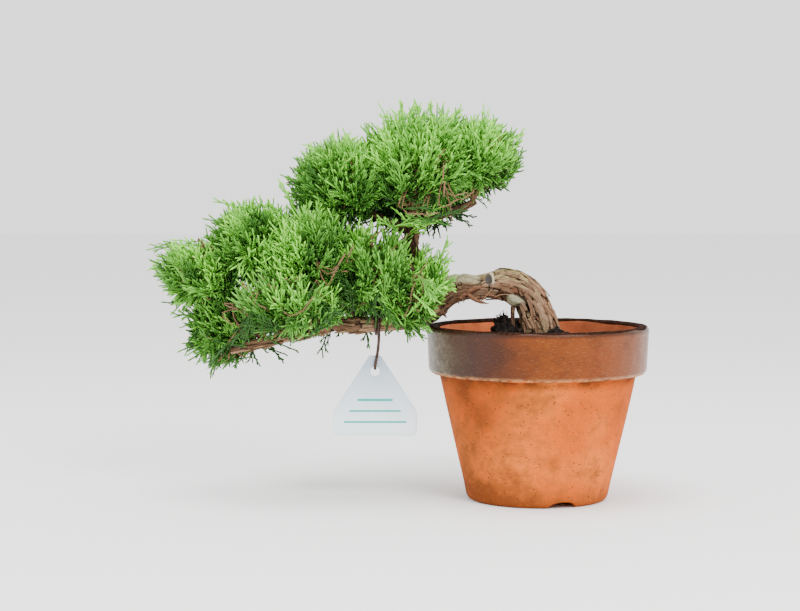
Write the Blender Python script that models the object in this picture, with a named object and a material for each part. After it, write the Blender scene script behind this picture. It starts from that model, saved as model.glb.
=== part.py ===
"""A potted Chinese juniper, trained as a half-cascade bonsai, in a terracotta pot with a glazed rim.

Units are metres, +Z is up, and the pot stands on Z = 0. Every piece is modelled about the pot's
own axis and hangs from one empty, which puts that axis at X = POT_X, so that the origin is the
centre of the whole plant's footprint. -Y is the front of the tree.
"""

import math

import bmesh
import bpy
import numpy as np
from mathutils import Matrix, Vector

# The pot, a common 12 cm training pot
RIM_RADIUS = 0.0600
POT_HEIGHT = 0.0942
FOOT_RADIUS = 0.0380
BODY_TOP_RADIUS = 0.0534
BAND_BOTTOM = 0.0690
BAND_LOW_RADIUS = 0.0588
EDGE_ROUND = 0.0020
RIM_WALL = 0.0056
BODY_WALL = 0.0050
FLOOR_TOP = 0.0085
RECESS_RADIUS = 0.0310
RECESS_DEPTH = 0.0025
DRAIN_RADIUS = 0.0080
NOTCHES = 3
NOTCH_TURN = math.radians(17.0)
NOTCH_HALF_WIDTH = 0.0078
NOTCH_HEIGHT = 0.0034
POT_SIDES = 36

# The crown reaches this far left of the pot's axis, and the rim is the rightmost point
CROWN_REACH = 0.2094
POT_X = (CROWN_REACH - RIM_RADIUS) / 2

# The soil, with the dark clods of the old root ball round the trunk
SOIL_EDGE_Z = 0.0835
SOIL_RISE = 0.0025
SOIL_SIDES = 32
GAP = 0.0003

# The trunk: (x, y, z, radius) from the flat cut at the soil, over the bend, to the fork
TRUNK = (
    (0.0012, 0.0000, 0.0845, 0.0116),
    (0.0010, 0.0000, 0.0920, 0.0101),
    (-0.0006, 0.0000, 0.0995, 0.0092),
    (-0.0032, 0.0000, 0.1062, 0.0087),
    (-0.0074, 0.0002, 0.1118, 0.0085),
    (-0.0128, 0.0004, 0.1154, 0.0084),
    (-0.0192, 0.0004, 0.1166, 0.0083),
    (-0.0265, 0.0000, 0.1160, 0.0070),
    (-0.0340, -0.0006, 0.1152, 0.0061),
    (-0.0405, -0.0010, 0.1158, 0.0068),
    (-0.0458, -0.0012, 0.1143, 0.0073),
    (-0.0515, -0.0014, 0.1092, 0.0066),
    (-0.0560, -0.0018, 0.1030, 0.0057),
)
BEND_TOP = 6
TRUNK_SIDES = 14
FLARE_LOBES = 5
FLARE_SHARE = 0.16
FLARE_HEIGHT = 0.008

# The boughs: (x, y, z, radius) along each, from inside the limb that carries it to its tip
BOUGHS = {
    "bough_cascade": (
        (-0.0550, -0.0017, 0.1044, 0.0055),
        (-0.0575, -0.0020, 0.1016, 0.0053),
        (-0.0620, -0.0024, 0.0993, 0.0048),
        (-0.0700, -0.0034, 0.0972, 0.0047),
        (-0.0850, -0.0040, 0.0956, 0.0044),
        (-0.1000, -0.0020, 0.0947, 0.0042),
        (-0.1110, 0.0000, 0.0948, 0.0039),
        (-0.1200, 0.0006, 0.0922, 0.0036),
        (-0.1360, -0.0030, 0.0885, 0.0030),
        (-0.1560, -0.0070, 0.0842, 0.0025),
        (-0.1665, -0.0080, 0.0814, 0.0021),
    ),
    "bough_apex": (
        (-0.0495, -0.0014, 0.1115, 0.0050),
        (-0.0570, 0.0000, 0.1195, 0.0044),
        (-0.0640, 0.0006, 0.1275, 0.0039),
        (-0.0681, 0.0004, 0.1365, 0.0037),
        (-0.0688, 0.0000, 0.1470, 0.0038),
        (-0.0684, 0.0000, 0.1540, 0.0032),
    ),
    "bough_top_right": (
        (-0.0687, 0.0000, 0.1478, 0.0032),
        (-0.0600, -0.0014, 0.1510, 0.0029),
        (-0.0500, -0.0032, 0.1556, 0.0026),
        (-0.0405, -0.0040, 0.1586, 0.0021),
        (-0.0340, -0.0036, 0.1620, 0.0017),
    ),
    "bough_top_left": (
        (-0.0687, 0.0000, 0.1462, 0.0031),
        (-0.0785, 0.0020, 0.1492, 0.0027),
        (-0.0890, 0.0030, 0.1540, 0.0023),
        (-0.0980, 0.0030, 0.1605, 0.0018),
    ),
    "bough_top_back": (
        (-0.0685, 0.0002, 0.1400, 0.0028),
        (-0.0678, 0.0095, 0.1438, 0.0025),
        (-0.0690, 0.0180, 0.1560, 0.0019),
    ),
    "bough_fork_front": (
        (-0.0505, -0.0014, 0.1100, 0.0030),
        (-0.0570, -0.0095, 0.1118, 0.0026),
        (-0.0630, -0.0120, 0.1130, 0.0020),
    ),
    "bough_heart_right": (
        (-0.0760, -0.0036, 0.0962, 0.0030),
        (-0.0788, -0.0052, 0.1035, 0.0026),
        (-0.0840, -0.0064, 0.1120, 0.0019),
    ),
    "bough_heart": (
        (-0.1090, -0.0004, 0.0949, 0.0030),
        (-0.1135, -0.0040, 0.1035, 0.0026),
        (-0.1172, -0.0070, 0.1140, 0.0019),
    ),
    "bough_shoulder": (
        (-0.1270, -0.0010, 0.0905, 0.0026),
        (-0.1370, 0.0022, 0.1010, 0.0023),
        (-0.1460, 0.0030, 0.1180, 0.0018),
    ),
    "bough_left": (
        (-0.1470, -0.0052, 0.0861, 0.0023),
        (-0.1580, -0.0030, 0.0965, 0.0020),
        (-0.1700, -0.0012, 0.1090, 0.0016),
    ),
    "bough_front": (
        (-0.1190, 0.0005, 0.0925, 0.0026),
        (-0.1225, -0.0105, 0.0950, 0.0023),
        (-0.1270, -0.0200, 0.0990, 0.0018),
    ),
    "bough_back": (
        (-0.0950, -0.0028, 0.0950, 0.0028),
        (-0.0985, 0.0095, 0.0985, 0.0024),
        (-0.1030, 0.0210, 0.1070, 0.0018),
    ),
}
CARRIERS = {
    "trunk_arm": "trunk_foot",
    "bough_cascade": "trunk_arm",
    "bough_apex": "trunk_arm",
    "bough_top_right": "bough_apex",
    "bough_top_left": "bough_apex",
    "bough_top_back": "bough_apex",
    "bough_fork_front": "trunk_arm",
    "bough_heart_right": "bough_cascade",
    "bough_heart": "bough_cascade",
    "bough_shoulder": "bough_cascade",
    "bough_left": "bough_cascade",
    "bough_front": "bough_cascade",
    "bough_back": "bough_cascade",
    "aerial_root": "trunk_foot",
}
BOUGH_SIDES = 8
AERIAL_ROOT = (
    (-0.0122, -0.0010, 0.1100, 0.0016),
    (-0.0136, -0.0012, 0.1030, 0.0013),
    (-0.0135, -0.0010, 0.0960, 0.0013),
    (-0.0128, -0.0006, 0.0860, 0.0017),
)

# The spaces of the foliage masses: the bough that carries each, its centre, its half sizes and
# the direction of its leading shoot, in shares of the half sizes
SPACES = {
    "foliage_top_middle": ("bough_apex", (-0.063, -0.002, 0.184), (0.034, 0.036, 0.0312), (0.12, 0.0, 0.99)),
    "foliage_top_right": ("bough_top_right", (-0.031, 0.000, 0.186), (0.0235, 0.031, 0.024), (0.0, 0.1, 0.99)),
    "foliage_top_left": ("bough_top_left", (-0.107, 0.002, 0.174), (0.029, 0.034, 0.027), (-0.5, 0.0, 0.86)),
    "foliage_top_back": ("bough_top_back", (-0.070, 0.036, 0.178), (0.038, 0.023, 0.027), (0.3, 0.3, 0.9)),
    "foliage_shoulder": ("bough_shoulder", (-0.154, 0.002, 0.139), (0.029, 0.036, 0.025), (-0.5, -0.2, 0.84)),
    "foliage_left_end": ("bough_left", (-0.1855, -0.002, 0.122), (0.0245, 0.029, 0.0215), (-0.975, 0.0, 0.22)),
    "foliage_low_end": ("bough_cascade", (-0.172, 0.003, 0.095), (0.022, 0.026, 0.0245), (-0.2, -0.1, -0.97)),
    "foliage_heart": ("bough_heart", (-0.122, -0.010, 0.133), (0.028, 0.040, 0.031), (-0.2, -0.5, 0.84)),
    "foliage_heart_right": ("bough_heart_right", (-0.091, -0.008, 0.127), (0.024, 0.038, 0.027), (0.1, -0.6, 0.79)),
    "foliage_fork": ("bough_fork_front", (-0.068, -0.010, 0.116), (0.024, 0.034, 0.025), (0.6, -0.5, -0.6)),
    "foliage_front_low": ("bough_front", (-0.134, -0.031, 0.108), (0.031, 0.023, 0.019), (-0.6, -0.6, -0.5)),
    "foliage_back_low": ("bough_back", (-0.114, 0.038, 0.121), (0.046, 0.0205, 0.028), (-0.4, 0.6, 0.6)),
}
SEAM = 0.02
CORE_SHARE = 0.48
CORE_BUMP = 0.14
SHOOTS = 34
SHOOT_RADIUS = 0.0012
SHOOT_RISE = 0.22
SHOOT_ROOT = 0.45
BLADE_LENGTH = 0.0200
BLADE_SHARE = 0.82
BLADE_THICKNESS = 0.0020
BLADE_GAP = 0.0022
STEM_RADIUS = 0.0015
STEM_REACH = 0.35
LIMB_GAP = 0.0005
CORE_GAP = 0.0022
POT_GAP = 0.0012
SAMPLE_STEP = 0.0008
SEED = 1207

# The label and the wire that it hangs on
TAG_TOP_Z = 0.0786
TAG_BOTTOM_Z = 0.0350
TAG_SHOULDER_Z = 0.0440
TAG_TOP_WIDTH = 0.0060
TAG_WIDTH = 0.0455
TAG_THICKNESS = 0.0008
TAG_HOLE_RADIUS = 0.0026
TAG_HOLE_Z = 0.0700
WIRE_RADIUS = 0.0008
WIRE_X = -0.0860
WIRE_TURNS = 1.25
HANG_X = -0.0883
WIRE_EASE = 0.0002
WIRE_BOW = 0.0008
WIRE_TAIL = 0.0022


def material(name, colour, roughness, metallic=0.0):
    """A plain Principled material in a linear colour."""
    made = bpy.data.materials.new(name)
    made.use_nodes = True
    shader = made.node_tree.nodes["Principled BSDF"]
    shader.inputs["Base Color"].default_value = (*colour, 1.0)
    shader.inputs["Roughness"].default_value = roughness
    shader.inputs["Metallic"].default_value = metallic
    return made


def add_object(name, mesh, finish, parent):
    """Links the mesh as an object under its parent empty."""
    obj = bpy.data.objects.new(name, mesh)
    obj.data.materials.append(finish)
    obj.parent = parent
    bpy.context.scene.collection.objects.link(obj)
    return obj


def mesh_from(name, points, faces):
    """A mesh of these points and faces, with its normals turned outwards."""
    mesh = bpy.data.meshes.new(name)
    mesh.from_pydata([tuple(p) for p in points], [], faces)
    shape = bmesh.new()
    shape.from_mesh(mesh)
    bmesh.ops.recalc_face_normals(shape, faces=shape.faces)
    shape.to_mesh(mesh)
    shape.free()
    return mesh


def turned(name, profile, sides):
    """A closed ring of section (radius, z) points swept round the Z axis. A radius of 0 is a pole."""
    points, rows = [], []
    for radius, z in profile:
        if radius == 0:
            rows.append([len(points)] * sides)
            points.append((0.0, 0.0, z))
            continue
        rows.append([len(points) + k for k in range(sides)])
        for k in range(sides):
            angle = 2 * math.pi * k / sides
            points.append((radius * math.cos(angle), radius * math.sin(angle), z))
    faces = []
    closed = profile[0][0] != 0
    pairs = list(zip(rows, rows[1:] + rows[:1])) if closed else list(zip(rows, rows[1:]))
    for lower, upper in pairs:
        for k in range(sides):
            m = (k + 1) % sides
            corners = dict.fromkeys((lower[k], lower[m], upper[m], upper[k]))
            if len(corners) > 2:
                faces.append(tuple(corners))
    return mesh_from(name, points, faces)


def rounded(corner, before, after, radius, steps=2):
    """Points of a small arc that rounds the corner of a section between its two neighbours."""
    corner, before, after = (Vector((p[0], p[1])) for p in (corner, before, after))
    start = corner + (before - corner).normalized() * radius
    end = corner + (after - corner).normalized() * radius
    arc = []
    for k in range(steps + 1):
        t = k / steps
        arc.append(tuple(start * (1 - t) ** 2 + corner * 2 * t * (1 - t) + end * t**2))
    return arc


def apply_boolean(obj, operation, others=None, solver="EXACT"):
    """Joins or cuts the object by a list of helper objects in one Boolean, then removes them."""
    helpers = bpy.data.collections.new("helpers")
    for other in others:
        helpers.objects.link(other)
    modifier = obj.modifiers.new("join", "BOOLEAN")
    modifier.operation = operation
    modifier.operand_type = "COLLECTION"
    modifier.collection = helpers
    modifier.solver = solver
    graph = bpy.context.evaluated_depsgraph_get()
    result = bpy.data.meshes.new_from_object(obj.evaluated_get(graph))
    obj.modifiers.clear()
    return result, helpers


def remove_helpers(helpers):
    for other in list(helpers.objects):
        bpy.data.objects.remove(other)
    bpy.data.collections.remove(helpers)


def cut(obj, others):
    """Cuts the helper objects out of the object and removes them."""
    result, helpers = apply_boolean(obj, "DIFFERENCE", others)
    obj.data = result
    remove_helpers(helpers)


def largest_piece(mesh):
    """Drops loose scraps and the walls of sealed hollows, which leaves the one outer skin."""
    shape = bmesh.new()
    shape.from_mesh(mesh)
    unseen, pieces = set(shape.faces), []
    while unseen:
        piece, front = set(), [unseen.pop()]
        while front:
            face = front.pop()
            piece.add(face)
            for edge in face.edges:
                for other in edge.link_faces:
                    if other in unseen:
                        unseen.remove(other)
                        front.append(other)
        pieces.append(piece)
    kept = max(pieces, key=len)
    bmesh.ops.delete(shape, geom=[f for f in shape.faces if f not in kept], context="FACES")
    closed = all(len(edge.link_faces) == 2 for edge in shape.edges)
    shape.to_mesh(mesh)
    shape.free()
    return closed


def fuse(obj, others):
    """Joins the helper objects to the object in one union, by the manifold solver where the exact one fails."""
    for solver in ("EXACT", "MANIFOLD"):
        result, helpers = apply_boolean(obj, "UNION", others, solver)
        if largest_piece(result):
            break
    obj.data = result
    remove_helpers(helpers)


def spline(points, steps):
    """Catmull-Rom curve through points of any dimension, with this many samples to a span."""
    p = np.array(points, float)
    p = np.vstack([2 * p[0] - p[1], p, 2 * p[-1] - p[-2]])
    t = np.arange(steps) / steps
    basis = np.stack(
        [
            -0.5 * t + t**2 - 0.5 * t**3,
            1 - 2.5 * t**2 + 1.5 * t**3,
            0.5 * t + 2 * t**2 - 1.5 * t**3,
            -0.5 * t**2 + 0.5 * t**3,
        ],
        axis=1,
    )
    spans = [basis @ p[k : k + 4] for k in range(len(p) - 3)]
    return np.vstack([*spans, p[-2:-1]])


def tube(name, samples, sides, grow=0.0, relief=None):
    """A closed tube through (x, y, z, radius) samples. relief(k, angle) scales the radius of ring k."""
    centres, radii = samples[:, :3], samples[:, 3] + grow
    along = np.gradient(centres, axis=0)
    along /= np.linalg.norm(along, axis=1)[:, None]
    side = Vector(along[0]).orthogonal().normalized()
    points, faces = [], []
    for k, centre in enumerate(centres):
        axis = Vector(along[k])
        side = (side - axis * side.dot(axis)).normalized()
        other = axis.cross(side)
        for m in range(sides):
            angle = 2 * math.pi * m / sides
            radius = radii[k] * (relief(k, angle) if relief else 1.0)
            points.append(Vector(centre) + (side * math.cos(angle) + other * math.sin(angle)) * radius)
    for k in range(len(centres) - 1):
        for m in range(sides):
            n = (m + 1) % sides
            faces.append((k * sides + m, k * sides + n, (k + 1) * sides + n, (k + 1) * sides + m))
    last = (len(centres) - 1) * sides
    faces += [tuple(range(sides)), tuple(range(last, last + sides))]
    return mesh_from(name, points, faces)


def helper(name, mesh):
    """A temporary object for a Boolean."""
    return bpy.data.objects.new(name, mesh)


def limb_routes():
    """The (x, y, z, radius) samples of every limb, which solids, cuts and clearance tests share."""
    trunk = spline(TRUNK, 3)
    split = BEND_TOP * 3
    routes = {"trunk_foot": trunk[: split + 1], "trunk_arm": trunk[split - 1 :]}
    for name, points in BOUGHS.items():
        routes[name] = spline(points, 3)
    routes["aerial_root"] = spline(AERIAL_ROOT, 2)
    return routes


def wire_route():
    """The wire winds round the cascade bough, drops in front of it and hooks through the label's hole."""
    bough = spline(BOUGHS["bough_cascade"], 12)
    at = bough[np.argmin(np.abs(bough[:, 0] - WIRE_X))]
    centre, reach = Vector(at[:3]), at[3] + GAP + WIRE_RADIUS + WIRE_EASE
    turn = []
    steps = int(WIRE_TURNS * 16)
    for k in range(steps + 1):
        angle = math.radians(180) + 2 * math.pi * (k - steps) / 16
        drift = (k - steps) / 16 * (2 * WIRE_RADIUS + GAP)
        turn.append(centre + Vector((drift, math.cos(angle) * reach, math.sin(angle) * reach)))
    return turn, centre, reach


def hang_point():
    """The centre of the wire where it lies in the top of the label's hole, which is the hinge."""
    _, centre, reach = wire_route()
    depth = centre.y - reach + WIRE_RADIUS + GAP + TAG_THICKNESS / 2
    return Vector((HANG_X, depth, TAG_HOLE_Z + TAG_HOLE_RADIUS - GAP - WIRE_RADIUS))


def wire_samples():
    """All points of the wire: the winding, the drop with its slight bow, and the hook."""
    turn, centre, reach = wire_route()
    hang = hang_point()
    start = turn[-1]
    hook = WIRE_RADIUS + GAP + TAG_THICKNESS / 2
    drop_end = Vector((hang.x, hang.y - hook, hang.z + hook))
    drop = []
    for t in (0.2, 0.4, 0.6, 0.8):
        bow = WIRE_BOW * math.sin(math.pi * t)
        drop.append(start.lerp(drop_end, t) + Vector((bow, 0.0, 0.0)))
    bend = []
    for k in range(7):
        angle = math.pi * k / 6
        bend.append(hang + Vector((0.0, -math.cos(angle) * hook, hook - math.sin(angle) * hook)))
    tail = [bend[-1] + Vector((0.0, 0.0, WIRE_TAIL))]
    points = turn + drop + bend + tail
    return np.array([(*p, WIRE_RADIUS) for p in points])


# The growing rule of the foliage
def gauge(space, points):
    """How far out points lie in a space: 0 at its centre, 1 on its skin."""
    _, centre, half, _ = space
    return np.linalg.norm((points - np.array(centre)) / np.array(half), axis=-1)


def dense_samples(routes):
    """All routes as one list of samples under a millimetre apart."""
    pieces = []
    for samples in routes.values():
        for a, b in zip(samples, samples[1:]):
            steps = max(2, int(np.linalg.norm(b[:3] - a[:3]) / SAMPLE_STEP))
            pieces.append(a + (b - a) * (np.arange(steps + 1) / steps)[:, None])
    return np.vstack(pieces)


ROUTES = {**limb_routes(), "tag_wire": wire_samples()}
BARK = dense_samples(ROUTES)


def limb_clearance(points):
    """Distance from points to the nearest bark or wire."""
    away = np.linalg.norm(points[:, None, :] - BARK[None, :, :3], axis=2)
    return (away - BARK[None, :, 3]).min(axis=1)


def clear_of_pot(points, margin=POT_GAP):
    """True for points above the rim or outside the pot."""
    away = np.hypot(points[:, 0], points[:, 1])
    return (points[:, 2] > POT_HEIGHT + margin) | (away > RIM_RADIUS + margin)


def fits(name, points, clearance=LIMB_GAP):
    """True for each point that keeps to the mass's own space, clear of limbs, pot and neighbours."""
    own = gauge(SPACES[name], points)
    good = (own <= 1.0) & clear_of_pot(points)
    for other, space in SPACES.items():
        if other != name:
            good &= gauge(space, points) > own + SEAM
    return good & (limb_clearance(points) > clearance)


def spread_directions(count, seed):
    """Unit vectors spread evenly over a sphere on a golden spiral, each nudged by a seeded draw."""
    draw = np.random.default_rng(seed)
    k = np.arange(count) + 0.5
    z = 1 - 2 * k / count
    turn = k * math.pi * (3 - math.sqrt(5)) + draw.uniform(0, 2 * math.pi)
    flat = np.sqrt(1 - z**2)
    vectors = np.stack([flat * np.cos(turn), flat * np.sin(turn), z], axis=1)
    vectors += draw.normal(0, 0.12, vectors.shape)
    return vectors / np.linalg.norm(vectors, axis=1)[:, None]


def core_mesh(name):
    """The dense heart of a mass: a ball drawn in wherever it would leave its space or meet a limb."""
    _, centre, half, _ = SPACES[name]
    ball = bmesh.new()
    bmesh.ops.create_icosphere(ball, subdivisions=2, radius=1.0)
    unit = np.array([v.co for v in ball.verts])
    unit *= 1 + CORE_BUMP * np.sin(unit @ np.array((5.1, 3.7, 4.3)) * 2.0)[:, None]
    shares = np.linspace(0.10, CORE_SHARE, 26)
    reach = np.full(len(unit), shares[0])
    growing = np.ones(len(unit), bool)
    for share in shares:
        points = np.array(centre) + unit * share * np.array(half)
        growing &= fits(name, points, clearance=CORE_GAP)
        reach[growing] = share
    for vertex, share, direction in zip(ball.verts, reach, unit):
        vertex.co = Vector(np.array(centre) + direction * share * np.array(half))
    mesh = bpy.data.meshes.new(name)
    ball.to_mesh(mesh)
    ball.free()
    return mesh


def blade_mesh(base, direction, flat, length):
    """A spray of scale leaves as one toothed blade, thickest near its foot and sharp all round its edge."""
    across = direction.cross(flat).normalized()
    teeth = [(0.0, 0.06), (0.64, 0.42), (0.58, 0.14)]
    outline = [*teeth, (1.0, 0.0), *((u, -v) for u, v in reversed(teeth))]
    points = [base + direction * (u * length) + across * (v * length) for u, v in outline]
    middle = base + direction * (0.30 * length)
    lift = flat * (BLADE_THICKNESS / 2)
    points += [middle + lift, middle - lift]
    count = len(outline)
    faces = []
    for k in range(count):
        m = (k + 1) % count
        faces += [(k, m, count), (m, k, count + 1)]
    return mesh_from("blade", points, faces)


def twig_mesh(start, end, thick, thin):
    """A three-sided twig, tapering from start to end."""
    samples = np.array([(*start, thick), (*end, thin)])
    return tube("twig", samples, 3)


def foliage_mass(name, finish, parent, seed):
    """One mass: a stem from its bough's tip, a core, and shoots that fork into toothed sprays."""
    bough, centre, half, leader = SPACES[name]
    tip, before = Vector(ROUTES[bough][-1, :3]), Vector(ROUTES[bough][-2, :3])
    heading = (tip - before).normalized()
    foot, middle = tip - heading * 0.001, Vector(centre)
    knee = tip + heading * (STEM_REACH * (middle - tip).length)
    radius = min(STEM_RADIUS, ROUTES[bough][-1, 3])
    stem = [foot * (1 - t) ** 2 + knee * 2 * t * (1 - t) + middle * t**2 for t in np.arange(6) / 5]
    stem = np.array([(*point, radius) for point in stem])
    core = core_mesh(name)
    parts = [helper("stem", tube("stem", stem, 6))]
    draw = np.random.default_rng(seed)
    ways = np.vstack([[leader], spread_directions(SHOOTS, seed)])
    taken = np.full((1, 3), 1.0)
    for way in ways:
        outward = Vector(way / np.array(half)).normalized()
        lean = (outward + Vector((0.0, 0.0, SHOOT_RISE))).normalized()
        rim = middle + Vector(way * np.array(half))
        flat = (Matrix.Rotation(draw.uniform(0, math.pi), 3, lean) @ lean.orthogonal()).normalized()
        length = min(BLADE_LENGTH, BLADE_SHARE * min(half)) * draw.uniform(0.85, 1.15)
        for pull in (1.00, 0.93, 0.86, 0.79, 0.72):
            end = middle + (rim - middle) * pull
            base = end - lean * length
            root = middle + (base - middle) * SHOOT_ROOT
            twig = twig_mesh(root, base + lean * (0.25 * length), SHOOT_RADIUS, SHOOT_RADIUS * 0.6)
            blade = blade_mesh(base, lean, flat, length)
            corners = np.array([v.co for v in blade.vertices] + [base.lerp(root, 0.5)])
            apart = np.linalg.norm(corners[:, None] - taken[None], axis=2).min() > BLADE_GAP
            if apart and fits(name, corners).all():
                parts += [helper("twig", twig), helper("blade", blade)]
                taken = np.vstack([taken, corners])
                break
    obj = add_object(name, core, finish, parent)
    fuse(obj, parts)
    near = [limb for limb, route in ROUTES.items() if gauge(SPACES[name], route[:, :3]).min() < 1.02]
    cut(obj, [collar(limb) for limb in dict.fromkeys([bough, *near])])
    largest_piece(obj.data)
    return obj


def pot_mesh():
    """The pot's section, from the drain hole out under the foot, up the wall, over the rim and down inside."""
    foot_edge = (FOOT_RADIUS, 0.0)
    band_low = (BAND_LOW_RADIUS, BAND_BOTTOM)
    rim_out, rim_in = (RIM_RADIUS, POT_HEIGHT), (RIM_RADIUS - RIM_WALL, POT_HEIGHT)
    body_top = (BODY_TOP_RADIUS, BAND_BOTTOM - 0.0008)
    floor_edge = (FOOT_RADIUS - BODY_WALL, FLOOR_TOP)
    profile = [(DRAIN_RADIUS, RECESS_DEPTH), (RECESS_RADIUS - 0.0015, RECESS_DEPTH), (RECESS_RADIUS, 0.0)]
    profile += rounded(foot_edge, profile[-1], body_top, 0.0030)
    profile += [body_top]
    profile += rounded(band_low, body_top, rim_out, 0.0028)
    profile += rounded(rim_out, band_low, rim_in, EDGE_ROUND)
    profile += rounded(rim_in, rim_out, floor_edge, EDGE_ROUND)
    profile += rounded(floor_edge, rim_in, (DRAIN_RADIUS, FLOOR_TOP), 0.0040)
    profile += [(DRAIN_RADIUS, FLOOR_TOP)]
    return turned("pot", profile, POT_SIDES)


def notch_cutters():
    """Arched notches across the foot ring, which let water out from under the pot."""
    cutters = []
    for k in range(NOTCHES):
        turn = -math.pi / 2 + NOTCH_TURN + 2 * math.pi * k / NOTCHES
        along = Vector((math.cos(turn), math.sin(turn), 0.0))
        across = Vector((-math.sin(turn), math.cos(turn), 0.0))
        section = [(-1.0, -1.0), (-1.0, 0.0), (-0.62, 0.55), (-0.25, 1.0), (0.25, 1.0), (0.62, 0.55), (1.0, 0.0), (1.0, -1.0)]
        points = []
        for reach in (RECESS_RADIUS - 0.0035, FOOT_RADIUS + 0.006):
            for u, v in section:
                points.append(along * reach + across * (u * NOTCH_HALF_WIDTH) + Vector((0, 0, v * NOTCH_HEIGHT)))
        n = len(section)
        faces = [tuple(range(n)), tuple(range(n, 2 * n))]
        faces += [(m, (m + 1) % n, n + (m + 1) % n, n + m) for m in range(n)]
        cutters.append(helper("notch", mesh_from("notch", points, faces)))
    return cutters


def inner_radius(z):
    """The pot's inner wall at a height."""
    low, high = FOOT_RADIUS - BODY_WALL, RIM_RADIUS - RIM_WALL
    return low + (high - low) * (z - FLOOR_TOP) / (POT_HEIGHT - FLOOR_TOP)


def clod(x, y, z, size, seed):
    """A rough lump of old root ball, knobbly by a seeded draw."""
    draw = np.random.default_rng(seed)
    ball = bmesh.new()
    bmesh.ops.create_icosphere(ball, subdivisions=1, radius=size)
    for vertex in ball.verts:
        vertex.co *= draw.uniform(0.78, 1.18)
        vertex.co += Vector((x, y, z))
    mesh = bpy.data.meshes.new("clod")
    ball.to_mesh(mesh)
    ball.free()
    return helper("clod", mesh)


CLODS = (
    (-0.0185, -0.0010, 0.0900, 0.0062),
    (-0.0190, 0.0005, 0.0960, 0.0040),
    (-0.0125, 0.0020, 0.0900, 0.0062),
    (-0.0120, -0.0050, 0.0880, 0.0050),
    (0.0090, -0.0065, 0.0860, 0.0052),
    (0.0070, 0.0100, 0.0860, 0.0050),
)


def soil(finish, parent):
    """Soil up to a few millimetres below the rim, with clods, cut clear of the trunk and the aerial root."""
    floor = FLOOR_TOP + GAP
    slack = GAP * 1.3
    profile = [(0.0, floor), (inner_radius(floor) - 0.0045, floor)]
    profile += [(inner_radius(floor + 0.005) - slack, floor + 0.005), (inner_radius(SOIL_EDGE_Z) - slack, SOIL_EDGE_Z)]
    rings = 5
    for k in range(1, rings + 1):
        share = 1 - k / rings
        dome = SOIL_RISE * math.cos(share * math.pi / 2)
        profile.append((share * (inner_radius(SOIL_EDGE_Z) - slack), SOIL_EDGE_Z + dome))
    obj = add_object("soil", turned("soil", profile, SOIL_SIDES), finish, parent)
    fuse(obj, [clod(*place, seed) for seed, place in enumerate(CLODS)])
    cut(obj, [collar("trunk_foot"), collar("aerial_root")])
    largest_piece(obj.data)
    return obj


def flare(k, angle):
    """Root flare and flutes: lobes that fade out up the trunk."""
    height = k * 0.0025
    lobes = math.cos(FLARE_LOBES * angle + 0.6)
    return 1 + FLARE_SHARE * math.exp(-height / FLARE_HEIGHT) * (0.5 + lobes) + 0.03 * lobes


def flutes(k, angle):
    """The old trunk isn't round: shallow flutes run along it."""
    return 1 + 0.03 * math.cos(FLARE_LOBES * angle + 0.6) + 0.02 * math.sin(2 * angle + 0.4 * k)


def limb_mesh(name, route, grow=0.0):
    """A limb's solid. Both trunk pieces are fluted, and the boughs and the aerial root are plain tapers."""
    relief = {"trunk_foot": flare, "trunk_arm": flutes}.get(name)
    sides = TRUNK_SIDES if relief else BOUGH_SIDES
    return tube(name, route, sides, grow, relief)


def collar(name, margin=GAP * 1.2):
    """A limb grown by a small margin all round and past both ends, to cut its neighbours clear of it."""
    longer = ROUTES[name].copy()
    for end, inner in ((0, 1), (-1, -2)):
        outward = longer[end, :3] - longer[inner, :3]
        longer[end, :3] += outward / np.linalg.norm(outward) * margin
    return helper("collar", limb_mesh(name, longer, margin))


def limbs(bark, wire_finish, parent):
    """Trunk, boughs, aerial root and wire. Each limb is cut clear of the limb that carries it."""
    made = {}
    for name, route in ROUTES.items():
        finish = wire_finish if name == "tag_wire" else bark
        made[name] = add_object(name, limb_mesh(name, route), finish, parent)
    for name, carrier in CARRIERS.items():
        cut(made[name], [collar(carrier)])
        largest_piece(made[name].data)


def tag_mesh(hang):
    """The label: a flat plate with sloping shoulders and a round hole, about the hinge point."""
    half_top, half = TAG_TOP_WIDTH / 2, TAG_WIDTH / 2
    outline = [(-half_top, TAG_TOP_Z), (-half, TAG_SHOULDER_Z + 0.004), (-half, TAG_BOTTOM_Z + 0.003)]
    outline += [(-half + 0.003, TAG_BOTTOM_Z)]
    outline += [(-x, z) for x, z in reversed(outline)]
    hole_sides = 16
    shape = bmesh.new()
    rim = [shape.verts.new((x, 0.0, z - hang.z)) for x, z in outline]
    hole = []
    for k in range(hole_sides):
        angle = 2 * math.pi * k / hole_sides
        x, z = TAG_HOLE_RADIUS * math.cos(angle), TAG_HOLE_RADIUS * math.sin(angle)
        hole.append(shape.verts.new((x, 0.0, TAG_HOLE_Z + z - hang.z)))
    for loop in (rim, hole):
        for a, b in zip(loop, loop[1:] + loop[:1]):
            shape.edges.new((a, b))
    bmesh.ops.triangle_fill(shape, use_beauty=True, edges=shape.edges[:])
    front = shape.faces[:]
    pulled = bmesh.ops.extrude_face_region(shape, geom=front)
    moved = [v for v in pulled["geom"] if isinstance(v, bmesh.types.BMVert)]
    bmesh.ops.translate(shape, verts=moved, vec=(0.0, TAG_THICKNESS, 0.0))
    bmesh.ops.translate(shape, verts=shape.verts[:], vec=(0.0, -TAG_THICKNESS / 2, 0.0))
    bmesh.ops.recalc_face_normals(shape, faces=shape.faces[:])
    mesh = bpy.data.meshes.new("tag")
    shape.to_mesh(mesh)
    shape.free()
    return mesh


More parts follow.
